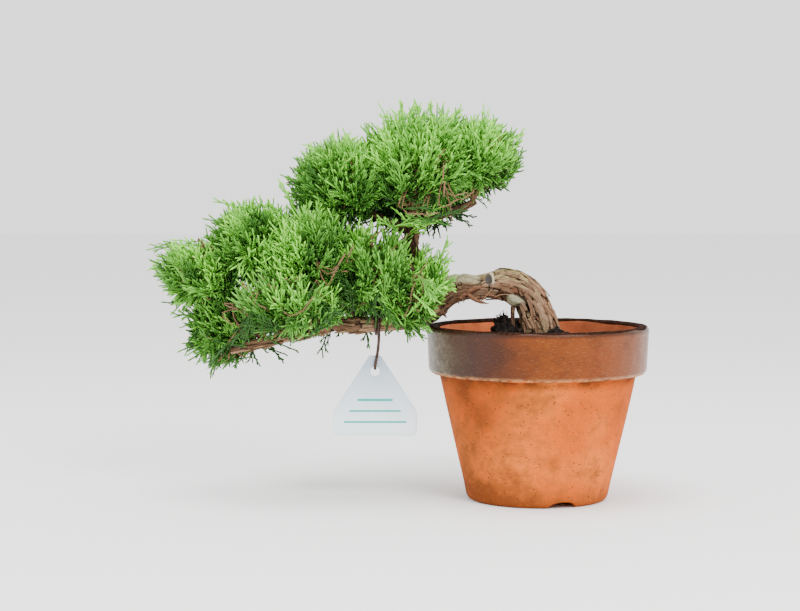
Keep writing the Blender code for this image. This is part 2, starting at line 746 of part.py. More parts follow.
def main():
    for obj in list(bpy.data.objects):
        bpy.data.objects.remove(obj)
    axis = bpy.data.objects.new("pot_axis", None)
    bpy.context.scene.collection.objects.link(axis)
    terracotta = material("terracotta", (0.60, 0.22, 0.09), 0.85)
    earth = material("earth", (0.030, 0.024, 0.020), 0.95)
    bark = material("bark", (0.20, 0.12, 0.075), 0.90)
    green = material("juniper green", (0.10, 0.28, 0.04), 0.60)
    wire_finish = material("annealed wire", (0.16, 0.08, 0.05), 0.45, 0.6)
    plastic = material("frosted plastic", (0.75, 0.80, 0.83), 0.35)

    pot = add_object("pot", pot_mesh(), terracotta, axis)
    cut(pot, notch_cutters())
    limbs(bark, wire_finish, axis)
    soil(earth, axis)

    hang = hang_point()
    hinge = bpy.data.objects.new("tag_hinge", None)
    hinge.parent = axis
    hinge.location = hang
    bpy.context.scene.collection.objects.link(hinge)
    add_object("tag", tag_mesh(hang), plastic, hinge)

    for number, name in enumerate(SPACES):
        foliage_mass(name, green, axis, SEED + number)
    for obj in bpy.data.objects:
        if obj.type == "MESH" and not obj.name.startswith(("foliage", "soil")):
            obj.data.shade_smooth()
            obj.data.set_sharp_from_angle(angle=math.radians(40))
    axis.location.x = POT_X


main()
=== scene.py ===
# %% [markdown]
# # A Chinese juniper bonsai in a terracotta pot
#
# The real plant is a small half-cascade juniper: a thick trunk that arches out of the pot and
# carries two pads of fine scale foliage to the left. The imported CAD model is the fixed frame.
# It holds the pot, the boughs and one solid for each mass of foliage. This lesson dresses it:
# every piece is a surface worked out with numpy, and is laid where the CAD solid is.

# %% Load the frame
import math

import bpy
import numpy as np
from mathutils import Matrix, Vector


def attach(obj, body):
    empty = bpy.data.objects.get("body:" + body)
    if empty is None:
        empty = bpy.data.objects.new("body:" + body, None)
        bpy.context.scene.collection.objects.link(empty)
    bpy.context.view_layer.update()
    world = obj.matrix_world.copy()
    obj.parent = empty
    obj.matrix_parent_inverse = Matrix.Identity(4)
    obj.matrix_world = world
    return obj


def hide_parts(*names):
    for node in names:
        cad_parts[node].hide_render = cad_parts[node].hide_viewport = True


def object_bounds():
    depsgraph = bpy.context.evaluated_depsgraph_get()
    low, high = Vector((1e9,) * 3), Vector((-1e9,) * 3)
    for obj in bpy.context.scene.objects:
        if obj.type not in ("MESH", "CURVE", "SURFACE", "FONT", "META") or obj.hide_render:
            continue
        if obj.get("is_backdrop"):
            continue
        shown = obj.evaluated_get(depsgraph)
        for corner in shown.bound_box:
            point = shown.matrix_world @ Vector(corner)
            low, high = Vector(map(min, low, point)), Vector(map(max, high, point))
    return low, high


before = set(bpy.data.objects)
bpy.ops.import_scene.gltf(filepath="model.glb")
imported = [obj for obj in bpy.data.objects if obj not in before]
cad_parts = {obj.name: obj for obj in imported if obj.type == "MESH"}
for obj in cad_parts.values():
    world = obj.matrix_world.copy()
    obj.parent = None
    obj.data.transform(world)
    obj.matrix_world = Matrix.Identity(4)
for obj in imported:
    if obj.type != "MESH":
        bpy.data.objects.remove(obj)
cad_low, cad_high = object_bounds()
print("CAD box, mm:", [round(1000 * v, 1) for v in (*cad_low, *cad_high)])

# %% [markdown]
# The camera comes first, because what it sees decides how fine each piece must be. The picture
# was taken from the front, slightly above the rim, with a long lens, so circles look almost flat.
# At the pot one pixel is about half a millimetre.

# %% Camera
POT_X = 0.0747
CAMERA_PLACE = (-0.000117, -1.0, 0.167958)
CAMERA_DOWN = math.radians(3.594)
LENS_MM = 82.94

camera = bpy.data.objects.new("camera", bpy.data.cameras.new("camera"))
camera.data.lens = LENS_MM
camera.data.sensor_width = 36.0
camera.location = CAMERA_PLACE
camera.rotation_euler = (math.pi / 2 - CAMERA_DOWN, 0.0, 0.0)
bpy.context.scene.collection.objects.link(camera)
bpy.context.scene.camera = camera
print("camera at", CAMERA_PLACE, "lens", LENS_MM)

# %% [markdown]
# A few small helpers serve every material. One turns a hex colour to linear light, one starts a
# Principled material, and one adds any node with its settings and links. `paint` ends a material
# with its layers and bump, and `plain_matter` makes the simple ones.

# %% Helpers for materials
FACTOR, BELOW, ABOVE = 0, 6, 7  # a colour Mix's inputs by number, because its input names repeat


def linear(hex_colour):
    """sRGB hex to linear light: c / 12.92 up to 0.04045, and ((c + 0.055) / 1.055) ** 2.4 above."""
    c = np.array([int(hex_colour[k : k + 2], 16) for k in (1, 3, 5)]) / 255
    return (*np.where(c <= 0.04045, c / 12.92, ((c + 0.055) / 1.055) ** 2.4), 1.0)


def start_material(name, **settings):
    """A Principled material. Settings are socket names with _ for a space."""
    made = bpy.data.materials.new(name)
    made.use_nodes = True
    shader = made.node_tree.nodes["Principled BSDF"]
    for socket, value in settings.items():
        shader.inputs[socket.replace("_", " ")].default_value = value
    return made, made.node_tree, shader


def add(tree, kind, inputs=(), stops=None, **settings):
    """Adds one node. An input takes a number, a hex colour, a socket, or a node for its main output."""
    made = tree.nodes.new("ShaderNode" + kind)
    for name, value in settings.items():
        setattr(made, name, value)
    for name, value in inputs.items() if isinstance(inputs, dict) else enumerate(inputs):
        if isinstance(value, bpy.types.Node):
            value = value.outputs[2 if value.type == "MIX" else 0]
        if isinstance(value, bpy.types.NodeSocket):
            tree.links.new(value, made.inputs[name])
        else:
            made.inputs[name].default_value = linear(value) if isinstance(value, str) else value
    if stops:
        while len(made.color_ramp.elements) < len(stops):
            made.color_ramp.elements.new(1.0)
        for element, (place, colour) in zip(made.color_ramp.elements, stops):
            element.position = place
            element.color = linear(colour)
    return made


def paint(tree, shader, colour, layers=(), relief=None, strength=0.0, distance=0.0):
    """Lays layers over the first colour, and raises a bump from the relief.

    A layer is one share or two to be multiplied, then its colour. A share is a value, or the row
    (value, from, to, least, most) of a range.
    """
    for *shares, over in layers:
        shares = [add(tree, "MapRange", share) if isinstance(share, tuple) else share for share in shares]
        share = add(tree, "Math", shares, operation="MULTIPLY") if len(shares) > 1 else shares[0]
        colour = add(tree, "Mix", {FACTOR: share, BELOW: colour, ABOVE: over}, data_type="RGBA")
    tree.links.new(colour.outputs[2 if layers else 0], shader.inputs["Base Color"])
    if strength:
        bump = add(tree, "Bump", {"Height": relief, "Strength": strength, "Distance": distance})
        tree.links.new(bump.outputs[0], shader.inputs["Normal"])


def plain_matter(name, scale, detail, lumpy, stops, strength=0.0, distance=0.0, **settings):
    """A finish of one noise, which picks the colour among the stops and raises the bump."""
    made, tree, shader = start_material(name, **settings)
    coords = add(tree, "TexCoord").outputs["Object"]
    noise = add(tree, "TexNoise", {"Vector": coords, "Scale": scale, "Detail": detail, "Roughness": lumpy})
    paint(tree, shader, add(tree, "ValToRGB", (noise,), stops=stops), (), noise, strength, distance)
    return made, tree, shader, noise


# %% [markdown]
# Meshes come from whole arrays. `piece` writes the arrays into a mesh, moves it from the pot's
# own axis to the frame's place, parents it to the CAD body it rides on, and hides the CAD nodes it stands
# for.

# %% Helpers for meshes
pieces_made = {}


def enclosed(points, faces):
    """Six times the volume inside closed faces: a . (b x c) summed over fans. Below 0, they face inwards."""
    fans = [(f[:, 0], f[:, k], f[:, k + 1]) for f in faces for k in range(1, f.shape[1] - 1)]
    a, b, c = (points[np.concatenate(column)] for column in zip(*fans))
    return float((a * np.cross(b, c)).sum())


def piece(name, surface, finish, body="plant", nodes=(), smooth=True):
    """The surface is its points about the pot's axis, arrays of corner numbers, and values by name."""
    points, faces, *values = surface
    points = points.reshape(-1, 3)
    mesh = bpy.data.meshes.new(name)
    if enclosed(points, faces) < 0:
        faces = [f[:, ::-1] for f in faces]
    corners = np.concatenate([f.ravel() for f in faces]).astype(np.int32)
    sizes = np.concatenate([np.full(len(f), f.shape[1]) for f in faces])
    placed = (points + (POT_X, 0.0, 0.0)).astype(np.float32)
    mesh.vertices.add(len(placed))
    mesh.vertices.foreach_set("co", placed.ravel())
    mesh.loops.add(len(corners))
    mesh.loops.foreach_set("vertex_index", corners)
    mesh.polygons.add(len(sizes))
    mesh.polygons.foreach_set("loop_start", (np.cumsum(sizes) - sizes).astype(np.int32))
    mesh.polygons.foreach_set("use_smooth", np.full(len(sizes), smooth))
    mesh.update(calc_edges=True)
    for label, numbers in (values[0] if values else {}).items():
        mesh.attributes.new(label, "FLOAT", "POINT").data.foreach_set("value", numbers.astype(np.float32))
    mesh.materials.append(finish)
    made = bpy.data.objects.new(name, mesh)
    bpy.context.scene.collection.objects.link(made)
    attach(made, body)
    if nodes:
        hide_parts(*nodes)
    triangles = int((sizes - 2).sum())
    pieces_made[name] = triangles
    print(f"{name}: {triangles} triangles")
    return made


def grid_faces(rows, columns, wrap_rows=False, start=0):
    """Quads of a rows x columns grid of points, closed round each row, and from last to first if asked."""
    r = np.arange(rows if wrap_rows else rows - 1)
    c = np.arange(columns)
    r, c = np.meshgrid(r, c, indexing="ij")
    r2, c2 = (r + 1) % rows, (c + 1) % columns
    quads = [r * columns + c, r * columns + c2, r2 * columns + c2, r2 * columns + c]
    return start + np.stack(quads, axis=-1).reshape(-1, 4)


def tube_faces(rows, sides):
    """A grid closed round each row, and a flat cap at each end."""
    c = np.arange(sides)[None, :]
    return [grid_faces(rows, sides), c[:, ::-1], (rows - 1) * sides + c]


def round_axis(r, angle, z):
    """The points (r cos angle, r sin angle, z)."""
    return np.stack([r * np.cos(angle), r * np.sin(angle), z + 0 * angle], axis=-1)


def bezier(start, knee, end, t):
    """start (1 - t)^2 + 2 knee t (1 - t) + end t^2."""
    return start * (1 - t) ** 2 + 2 * knee * t * (1 - t) + end * t**2


def lengths(line):
    """Length along a line of points up to each of them."""
    return np.concatenate([[0], np.cumsum(np.linalg.norm(np.diff(line, axis=0), axis=1))])


def smooth_step(x, low=0.0, high=1.0):
    """0 below low, 1 above high, and 3 t^2 - 2 t^3 between them."""
    t = np.clip((x - low) / (high - low), 0.0, 1.0)
    return t * t * (3 - 2 * t)


def between(x, band):
    """For a band (a, b, c, d): 0 before a, rising to 1 at b, 1 up to c, and falling to 0 at d."""
    return smooth_step(x, *band[:2]) * (1 - smooth_step(x, *band[2:]))


def unit(vectors):
    """Each vector divided by its length."""
    return vectors / np.maximum(np.linalg.norm(vectors, axis=-1, keepdims=True), 1e-9)


def waves(points, wavelength, seed, count=9):
    """Soft lumps from -1 to 1: the mean of sines along seeded directions, about one wavelength apart."""
    draw = np.random.default_rng(seed)
    ways = unit(draw.normal(size=(count, 3))) * (2 * math.pi / wavelength)
    ways *= draw.uniform(0.6, 1.5, (count, 1))
    turns = draw.uniform(0, 2 * math.pi, count)
    return np.sin(points @ ways.T + turns).sum(axis=-1) / math.sqrt(count)


# %% [markdown]
# The pot is a common thrown training pot: a plain tapered body, a wide rim band, a foot with
# three drainage notches. Its section is a list of corners with small arcs, swept round the axis.
# The notches are the same surface with the foot's points lifted to an arch.

# %% Pot sizes and section
RIM_RADIUS, POT_HEIGHT, FOOT_RADIUS = 0.06, 0.0942, 0.038
BODY_TOP_RADIUS, BAND_BOTTOM, BAND_LOW_RADIUS = 0.0534, 0.069, 0.0588
RIM_WALL, BODY_WALL, FLOOR_TOP = 0.0056, 0.005, 0.0085
RECESS_RADIUS, RECESS_DEPTH, DRAIN_RADIUS = 0.031, 0.0025, 0.008
NOTCHES, NOTCH_TURN = 3, math.radians(17.0)
NOTCH_HALF_WIDTH, NOTCH_HEIGHT = 0.0078, 0.0034
RING_PITCH, RING_DEEP, LUMP_DEEP = 0.0034, 0.00005, 0.00022
THROWN_BAND = (0.004, 0.01, 0.061, 0.067)  # heights between which the throwing rings show
AROUND = 300


def section(corners, spacing):
    """Samples along a closed section. Each corner (r, z, arc) is rounded by a Bezier arc of that size."""
    line = []
    count = len(corners)
    for k in range(count):
        at = np.array(corners[k][:2])
        before, after = (np.array(corners[(k + s) % count][:2]) for s in (-1, 1))
        size = corners[k][2]
        start, end = at + unit(before - at) * size, at + unit(after - at) * size
        t = np.linspace(0, 1, 7 if size > 0.001 else 4)[:, None]
        line.append(bezier(start, at, end, t))
    parts = []
    for k in range(count):
        a, b = line[k][-1], line[(k + 1) % count][0]
        steps = max(1, int(np.linalg.norm(b - a) / spacing))
        t = (np.arange(1, steps) / steps)[:, None]
        parts += [line[k], a + (b - a) * t]
    return np.vstack(parts)


POT_CORNERS = (
    (DRAIN_RADIUS, RECESS_DEPTH, 0.0006),
    (RECESS_RADIUS - 0.0015, RECESS_DEPTH, 0.0005),
    (RECESS_RADIUS, 0.0, 0.0006),
    (FOOT_RADIUS, 0.0, 0.003),
    (BODY_TOP_RADIUS, BAND_BOTTOM - 0.0008, 0.0006),
    (BAND_LOW_RADIUS, BAND_BOTTOM, 0.0026),
    (RIM_RADIUS, POT_HEIGHT, 0.0021),
    (RIM_RADIUS - RIM_WALL, POT_HEIGHT, 0.0021),
    (FOOT_RADIUS - BODY_WALL, FLOOR_TOP, 0.004),
    (DRAIN_RADIUS, FLOOR_TOP, 0.0006),
)
pot_section = section(POT_CORNERS, 0.0011)


def notch_arch(radius, angle):
    """Height of the nearest foot notch: a half ellipse across it, and 0 outside it."""
    lift = np.zeros(np.broadcast(radius, angle).shape)
    for k in range(NOTCHES):
        turn = angle + math.pi / 2 - NOTCH_TURN - 2 * math.pi * k / NOTCHES
        along, across = radius * np.cos(turn), radius * np.sin(turn) / NOTCH_HALF_WIDTH
        arch = NOTCH_HEIGHT * np.sqrt(np.clip(1 - np.abs(across) ** 2.4, 0, 1))
        lift = np.maximum(lift, np.where(along > RECESS_RADIUS - 0.0035, arch, 0.0))
    return lift


def pot_surface(line, around):
    """Sweeps (r, z) samples round Z, with faint throwing rings, and lifts the foot over the notches."""
    angle = np.linspace(0, 2 * math.pi, around, endpoint=False)[None, :]
    r, z = line[:, 0:1] + 0 * angle, line[:, 1:2] + 0 * angle
    points = round_axis(r, angle, z)
    rings = RING_DEEP * np.sin(2 * math.pi * z / RING_PITCH + 1.5 * np.sin(angle))
    lumps = LUMP_DEEP * waves(points, 0.06, 11)
    body = between(z, THROWN_BAND)
    r = r + (rings + lumps) * body
    z = np.where(z < 0.006, np.maximum(z, notch_arch(r, angle)), z)
    return round_axis(r, angle, z)


pot_points = pot_surface(pot_section, AROUND)
print("pot section:", len(pot_section), "samples,", AROUND, "steps round")

# %% [markdown]
# Terracotta is low-fired clay that has soaked up water and soil. It is dry and matt, warm orange
# where clean, and browner near the foot and where the plant drips. Dark grog specks of about half
# a millimetre show all over, and the wheel leaves fine level lines.

# %% Terracotta
# Brown blotches where the plant drips: x, y, z about the pot's axis and the radius, in metres
BLOTCHES = (
    (-0.0314, -0.0376, 0.0496, 0.01), (0.0413, -0.0264, 0.0496, 0.011), (-0.0292, -0.0252, 0.0029, 0.013),
    (-0.0412, -0.0314, 0.062, 0.012), (0.005, -0.044, 0.025, 0.006), (0.018, 0.042, 0.04, 0.014),
    (-0.04, 0.02, 0.03, 0.013),
)
terracotta, tree, shader = start_material("low_fired_terracotta", Roughness=0.88, Specular_IOR_Level=0.12)
coords = add(tree, "TexCoord").outputs["Object"]
place = add(tree, "SeparateXYZ", (coords,))
side, height = place.outputs["X"], place.outputs["Z"]
# Noises of the Object coordinates, from clouds of 40 mm to grit of 0.4 mm
clouds, soaked, mottle, band_shadow_breakup, scuffs, spots, grit = (
    add(tree, "TexNoise", {"Vector": coords, "Scale": scale, "Detail": detail, "Roughness": rough})
    for scale, detail, rough in (
        (24.0, 5.0, 0.6), (48.0, 8.0, 0.68), (190.0, 9.0, 0.8), (90.0, 5.0, 0.6), (300.0, 4.0, 0.6),
        (60.0, 6.0, 0.7), (2400.0, 3.0, 0.6),
    )
)
fired = add(tree, "ValToRGB", (clouds,), stops=((0.32, "#AE4C14"), (0.46, "#C6580F"), (0.6, "#DA6E22")))
# Water stains and painted shade: a soft noise, stronger towards the foot and at the blotches, which is stain,
# and stronger at the left and right edges, partly stain and partly painted shade where the wall turns from
# the light
stain_and_edge_shade = soaked
for value, low, high, most in (
    (side, POT_X + 0.02, POT_X - 0.055, 0.24),
    (side, POT_X + 0.03, POT_X + 0.06, 0.1),
    (height, 0.022, 0.0, 0.2),
    *((blotch, blotch[3], 0.0, 0.2) for blotch in BLOTCHES),
):
    if isinstance(value, tuple):
        middle = (value[0] + POT_X, *value[1:3])
        value = add(tree, "VectorMath", (coords, middle), operation="DISTANCE").outputs["Value"]
    share = add(tree, "MapRange", (value, low, high, 0.0, most))
    stain_and_edge_shade = add(tree, "Math", (stain_and_edge_shade, share), operation="ADD")
layers = [
    ((stain_and_edge_shade, 0.52, 0.86, 0.0, 0.88), "#5C2D12"),
    ((mottle, 0.46, 0.66, 0.0, 0.62), "#8A4A1C"),
    # Painted shadow: dark brown just under the overhang of the rim band, broken up by a noise
    ((height, 0.063, 0.0682), (band_shadow_breakup, 0.36, 0.6, 0.1, 0.9), "#42200F"),
    ((height, 0.0688, 0.0693), (scuffs, 0.35, 0.6, 0.0, 0.75), "#C08A5A"),
]
# Grog: dark grains in cells of 2.2 mm and of 1 mm, of which a noise keeps some
for cells, keep_from, strength in ((450.0, 0.46, 0.9), (1000.0, 0.45, 0.85)):
    grains = add(tree, "TexVoronoi", {"Vector": coords, "Scale": cells})
    chosen = add(tree, "TexNoise", {"Vector": coords, "Scale": cells * 0.36, "Detail": 2.0})
    kept = (chosen, keep_from, keep_from + 0.08, 0.0, strength)
    layers.append(((grains, 0.22, 0.12), kept, "#3A1C0E"))
# Inside the mouth the clay is damp, with painted light and shade on it: lighter on the left, and darker on
# the side away from the light
across = add(tree, "MapRange", (side, POT_X - 0.055, POT_X + 0.055))
damp = add(tree, "ValToRGB", (across,), stops=((0.05, "#F08250"), (0.4, "#BC5C34"), (0.8, "#8E4A2C")))
spotted = add(tree, "MapRange", (spots, 0.42, 0.66, 0.0, 0.55))
wall = add(tree, "Mix", {FACTOR: spotted, BELOW: damp, ABOVE: "#5A2A16"}, data_type="RGBA")
layers.append((add(tree, "Attribute", attribute_name="inside"), wall))
# Wheel lines every 0.8 mm or so, and the grit
squeezed = add(tree, "Mapping", {"Vector": coords, "Scale": (60.0, 60.0, 1300.0)})
lines = add(tree, "TexNoise", {"Vector": squeezed, "Scale": 1.0, "Detail": 3.0})
relief = add(tree, "Math", (lines, grit), operation="ADD")
paint(tree, shader, fired, layers, relief, 0.45, 0.0003)

rim_top = np.argmax(pot_section[:, 1])
past_rim = np.arange(len(pot_section)) > rim_top
below_rim = smooth_step(POT_HEIGHT - pot_section[:, 1], 0.0002, 0.0012) * past_rim
inside_wall = np.repeat(below_rim[:, None], AROUND, axis=1).ravel()
piece(
    "pot_body",
    (pot_points, [grid_faces(len(pot_section), AROUND, wrap_rows=True)[:, ::-1]], {"inside": inside_wall}),
    terracotta,
    nodes=["pot"],
)

# %% [markdown]
# The rim band is dipped in a brown glaze, a glassy coat a quarter of a millimetre thick. A coat is
# a piece of its own here: it follows the pot's section over the lip, ends in a wavy line inside
# the mouth, and stops just above the band's lower edge, where a line of bare clay shows.

# %% Rim glaze
GLAZE_THICK, LIP_CRUST = 0.00024, 0.00012
GLAZE_STEPS = 96
GLAZE_LOW, GLAZE_INSIDE = 0.0699, 0.0013

angle = np.linspace(0, 2 * math.pi, AROUND, endpoint=False)
ring = round_axis(1.0, angle, 0.0)
low_edge = GLAZE_LOW + 0.00022 * waves(ring, 0.9, 21)
drop_inside = GLAZE_INSIDE + 0.0004 * waves(ring, 0.8, 22)

r, z = pot_section.T
outer = pot_section[(z > BAND_BOTTOM - 0.0005) & (r > BODY_TOP_RADIUS - 0.0035)]
outer = outer[np.argmin(np.abs(outer - (BAND_LOW_RADIUS, BAND_BOTTOM)).sum(axis=1)) :]
outer = outer[outer[:, 1] > BAND_BOTTOM + 0.0001]
length = lengths(outer)
rising = np.argmax(outer[:, 1])
falling = rising + np.argmax(outer[rising:, 1] < POT_HEIGHT - 0.0001)
start_at = np.interp(low_edge, outer[: rising + 1, 1], length[: rising + 1])
inside_z = outer[falling:, 1][::-1]
end_at = np.interp(POT_HEIGHT - drop_inside, inside_z, length[falling:][::-1])
worn_edge = POT_HEIGHT - 0.0007 + 0.0003 * waves(ring, 0.3, 24)
worn_at = np.interp(worn_edge, outer[: rising + 1, 1], length[: rising + 1])


def coat(start_at, end_at, steps, thick):
    """Points of a closed sleeve over the section from one length to another, one of each for each turn."""
    share = np.linspace(0, 1, steps)[:, None]
    at = start_at + (end_at - start_at) * share
    across = np.stack([np.interp(at, length, outer[:, k]) for k in (0, 1)], axis=-1)
    tangent = unit(np.gradient(across, axis=0))
    normal = np.stack([tangent[..., 1], -tangent[..., 0]], axis=-1)
    edge = np.sqrt(np.clip(1 - (2 * share - 1) ** 16, 0, 1))
    sweep = round_axis(across[..., 0], angle, across[..., 1])
    skin = across + normal * (thick * edge * (1 + 0.22 * waves(sweep, 0.012, 23)) + 0.00003)[..., None]
    loop = np.concatenate([skin, (across - normal * 0.0004)[::-1]])
    return round_axis(loop[..., 0], angle, loop[..., 1]), [grid_faces(2 * steps, AROUND, wrap_rows=True)]

# %% Finish of the glaze
# The glaze: brown glass over clay. Iron in it fires from dark mauve brown to amber, in slow
# drifts round the pot, and wiping with a sponge left fine level scratches. Its tone also runs
# from left to right across the pot, and the two ends of that are painted reflection: grey brown
# at the left and pale pinkish brown at the right.
glaze, tree, shader = start_material("fired_brown_glaze", IOR=1.46, Specular_IOR_Level=0.2)
coords = add(tree, "TexCoord").outputs["Object"]
place = add(tree, "SeparateXYZ", (coords,))
side, height = place.outputs["X"], place.outputs["Z"]
drifts, pools, dusts, wear, peel = (
    add(tree, "TexNoise", {"Vector": coords, "Scale": scale, "Detail": detail, "Roughness": rough})
    for scale, detail, rough in (
        (34.0, 4.0, 0.55), (75.0, 5.0, 0.7), (260.0, 6.0, 0.75), (200.0, 4.0, 0.6), (520.0, 3.0, 0.6),
    )
)
squeezed = add(tree, "Mapping", {"Vector": coords, "Scale": (420.0, 420.0, 1500.0)})
streaks = add(tree, "TexNoise", {"Vector": squeezed, "Scale": 1.0, "Detail": 5.0, "Roughness": 0.75})
drift = add(tree, "MapRange", (drifts, 0.0, 1.0, -0.16, 0.16))
# Across the pot from left to right; the ramp's grey brown left end and pale pinkish brown right end are
# painted reflection
across = add(tree, "MapRange", (side, POT_X - 0.06, POT_X + 0.06))
iron_and_reflection_at = add(tree, "Math", (across, drift), operation="ADD")
iron_and_reflection_stops = (
    (0.04, "#453A26"), (0.18, "#34201A"), (0.28, "#3C1E10"), (0.42, "#642E08"), (0.56, "#703404"),
    (0.74, "#703410"), (1.0, "#6E4630"),
)
iron_and_reflection = add(tree, "ValToRGB", (iron_and_reflection_at,), stops=iron_and_reflection_stops)
# Flecks show most where the glaze is light. Dust and lime dry on the side that drips, and the coat
# runs thin and pale at its lower edge
layers = (
    ((pools, 0.45, 0.68, 0.0, 0.55), "#3A1C0A"),
    ((streaks, 0.54, 0.7, 0.0, 1.0), (across, 0.3, 0.55, 0.12, 0.5), "#9A6234"),
    ((side, POT_X - 0.046, POT_X - 0.06), (dusts, 0.44, 0.62, 0.0, 0.7), "#8A7F66"),
    ((height, 0.0712, 0.0702), (wear, 0.35, 0.65, 0.15, 0.75), "#A8744A"),
    ((height, POT_HEIGHT - 0.003, POT_HEIGHT - 0.0012, 0.0, 0.75), "#26140C"),
)
gloss = add(tree, "MapRange", (streaks, 0.3, 0.7, 0.14, 0.36))
tree.links.new(gloss.outputs[0], shader.inputs["Roughness"])
relief = add(tree, "Math", (peel, streaks), operation="ADD")
paint(tree, shader, iron_and_reflection, layers, relief, 0.4, 0.0004)
piece("rim_glaze", coat(start_at, end_at, GLAZE_STEPS, GLAZE_THICK), glaze, nodes=["pot"])

# %% Crust on the lip
# The lip itself is rubbed matt and dark by hands and soil, a thin crust over the glaze
soot = ((0.35, "#140C08"), (0.58, "#2C1A12"), (0.72, "#5A3420"))
crust = plain_matter(
    "rubbed_dark_lip", 500.0, 5.0, 0.7, soot, 0.4, 0.0003, Roughness=0.9, Specular_IOR_Level=0.02
)[0]
piece("pot_lip", coat(worn_at, end_at, 30, GLAZE_THICK + LIP_CRUST), crust, nodes=["pot"])

# %% [markdown]
# The soil stands a centimetre below the rim, so from the front only the black clods of the old
# root ball show. From above it is a bed of coarse bonsai grit: a domed bed in one piece, and
# nine hundred grains of two to four millimetres, each a knobbly ball of twenty-four faces.

# %% Soil bed, clods and grit
SOIL_EDGE_Z, SOIL_RISE = 0.0835, 0.0025
BED_ROWS, BED_AROUND, BED_TAPER, BED_BOTTOM = 70, 160, 0.93, 0.06
GOLDEN_TURN = 2.39996
CLODS = (
    # x, y, z and radius
    (-0.0185, -0.001, 0.09, 0.0062), (-0.019, 0.0005, 0.096, 0.004), (-0.0125, 0.002, 0.09, 0.0062),
    (-0.012, -0.005, 0.088, 0.005), (0.009, -0.0065, 0.0868, 0.0055), (0.007, 0.01, 0.086, 0.005),
)
GRAINS, GRAIN_ROWS, GRAIN_SIDES, GRAIN_ROUGH = 900, 5, 6, 0.25
CLOD_ROWS, CLOD_SIDES, CLOD_ROUGH = 40, 60, 0.34
SEED = 1207


def inner_radius(z):
    """The pot's inner wall at a height."""
    low, high = FOOT_RADIUS - BODY_WALL, RIM_RADIUS - RIM_WALL
    return low + (high - low) * (z - FLOOR_TOP) / (POT_HEIGHT - FLOOR_TOP)


def soil_height(x, y):
    """A low dome: edge height plus a cosine of the distance from the axis."""
    return SOIL_EDGE_Z + SOIL_RISE * np.cos(np.hypot(x, y) / inner_radius(SOIL_EDGE_Z) * math.pi / 2)


EARTHS = (
    # name, scale of the grains, and colours from dark to light
    ("damp_peaty_earth", 500.0, ("#070504", "#120D0A", "#2A211B")),
    ("crushed_lava_grit", 600.0, ("#1C1512", "#2E231D", "#4A3A31")),
    ("baked_clay_grit", 600.0, ("#5B4330", "#86674A", "#A98B66")),
)
peat, lava_grit, clay_grit = (
    plain_matter(
        name, scale, 4.0, 0.7, tuple(zip((0.35, 0.5, 0.65), colours)), 0.7, 0.0004,
        Roughness=0.95, Specular_IOR_Level=0.2,
    )[0]
    for name, scale, colours in EARTHS
)

radius = np.linspace(0.00001, inner_radius(SOIL_EDGE_Z) + 0.0002, BED_ROWS)[:, None]
angle = np.linspace(0, 2 * math.pi, BED_AROUND, endpoint=False)[None, :]
x, y = radius * np.cos(angle), radius * np.sin(angle)
top = round_axis(radius, angle, soil_height(x, y))
top[..., 2] += 0.0007 * waves(top, 0.006, 31) + 0.0004 * waves(top, 0.002, 32) - 0.001
bottom = top[::-1] * (BED_TAPER, BED_TAPER, 0.0) + (0.0, 0.0, BED_BOTTOM)
bed = np.concatenate([top, bottom])
faces, *caps = tube_faces(len(bed), BED_AROUND)
caps = [cap[:, ::-1] for cap in caps]
piece("soil_bed", (bed, [faces, *caps]), peat, nodes=["soil"])


def lumps(places, sizes, rows, columns, rough, seed):
    """Closed balls, one for each place: unit balls stretched by sizes, their radius roughened by waves."""
    v = np.linspace(0, math.pi, rows)[:, None]
    u = np.linspace(0, 2 * math.pi, columns, endpoint=False)[None, :]
    ball = round_axis(np.sin(v), u, np.cos(v))
    ball = ball[1:-1].reshape(-1, 3)
    ball = np.vstack([ball, (0, 0, 1), (0, 0, -1)])
    shift = np.random.default_rng(seed).uniform(0, 9, (len(places), 1, 3))
    bumps = 0.6 * waves(ball + shift, 1.5, seed) + 0.4 * waves(ball + shift, 0.5, seed + 1)
    points = np.asarray(places)[:, None] + ball * np.asarray(sizes)[:, None] * (1 + rough * bumps[..., None])
    body = grid_faces(rows - 2, columns)
    n, last = (rows - 2) * columns, (rows - 3) * columns
    c = np.arange(columns)
    north = np.stack([(c + 1) % columns, c, 0 * c + n], axis=1)
    south = np.stack([last + c, last + (c + 1) % columns, 0 * c + n + 1], axis=1)
    step = (np.arange(len(places)) * (n + 2))[:, None, None]
    return points.reshape(-1, 3), [(f[None] + step).reshape(-1, f.shape[1]) for f in (body, north, south)]


places = np.array([c[:3] for c in CLODS])
sizes = np.array([[c[3]] * 3 for c in CLODS])
clods = lumps(places, sizes, CLOD_ROWS, CLOD_SIDES, CLOD_ROUGH, 33)
piece("root_ball_clods", clods, peat, nodes=["soil"])

# %% Grit
draw = np.random.default_rng(SEED)
k = np.arange(GRAINS) + 0.5
away = np.sqrt(k / GRAINS) * (inner_radius(SOIL_EDGE_Z) - 0.0012)
turn = k * GOLDEN_TURN + draw.uniform(-0.2, 0.2, GRAINS)
x, y = away * np.cos(turn), away * np.sin(turn)
grain_size = draw.uniform(0.0009, 0.002, (GRAINS, 1)) * draw.uniform(0.75, 1.2, (GRAINS, 3))
grain_place = np.stack([x, y, soil_height(x, y) - 0.0006 + draw.uniform(0, 0.0012, GRAINS)], axis=1)
pale = draw.uniform(0, 1, GRAINS) < 0.34
for name, chosen, seed, finish in (("dark_grit", ~pale, 34, lava_grit), ("pale_grit", pale, 35, clay_grit)):
    grains = lumps(grain_place[chosen], grain_size[chosen], GRAIN_ROWS, GRAIN_SIDES, GRAIN_ROUGH, seed)
    piece(name, grains, finish, nodes=["soil"], smooth=False)

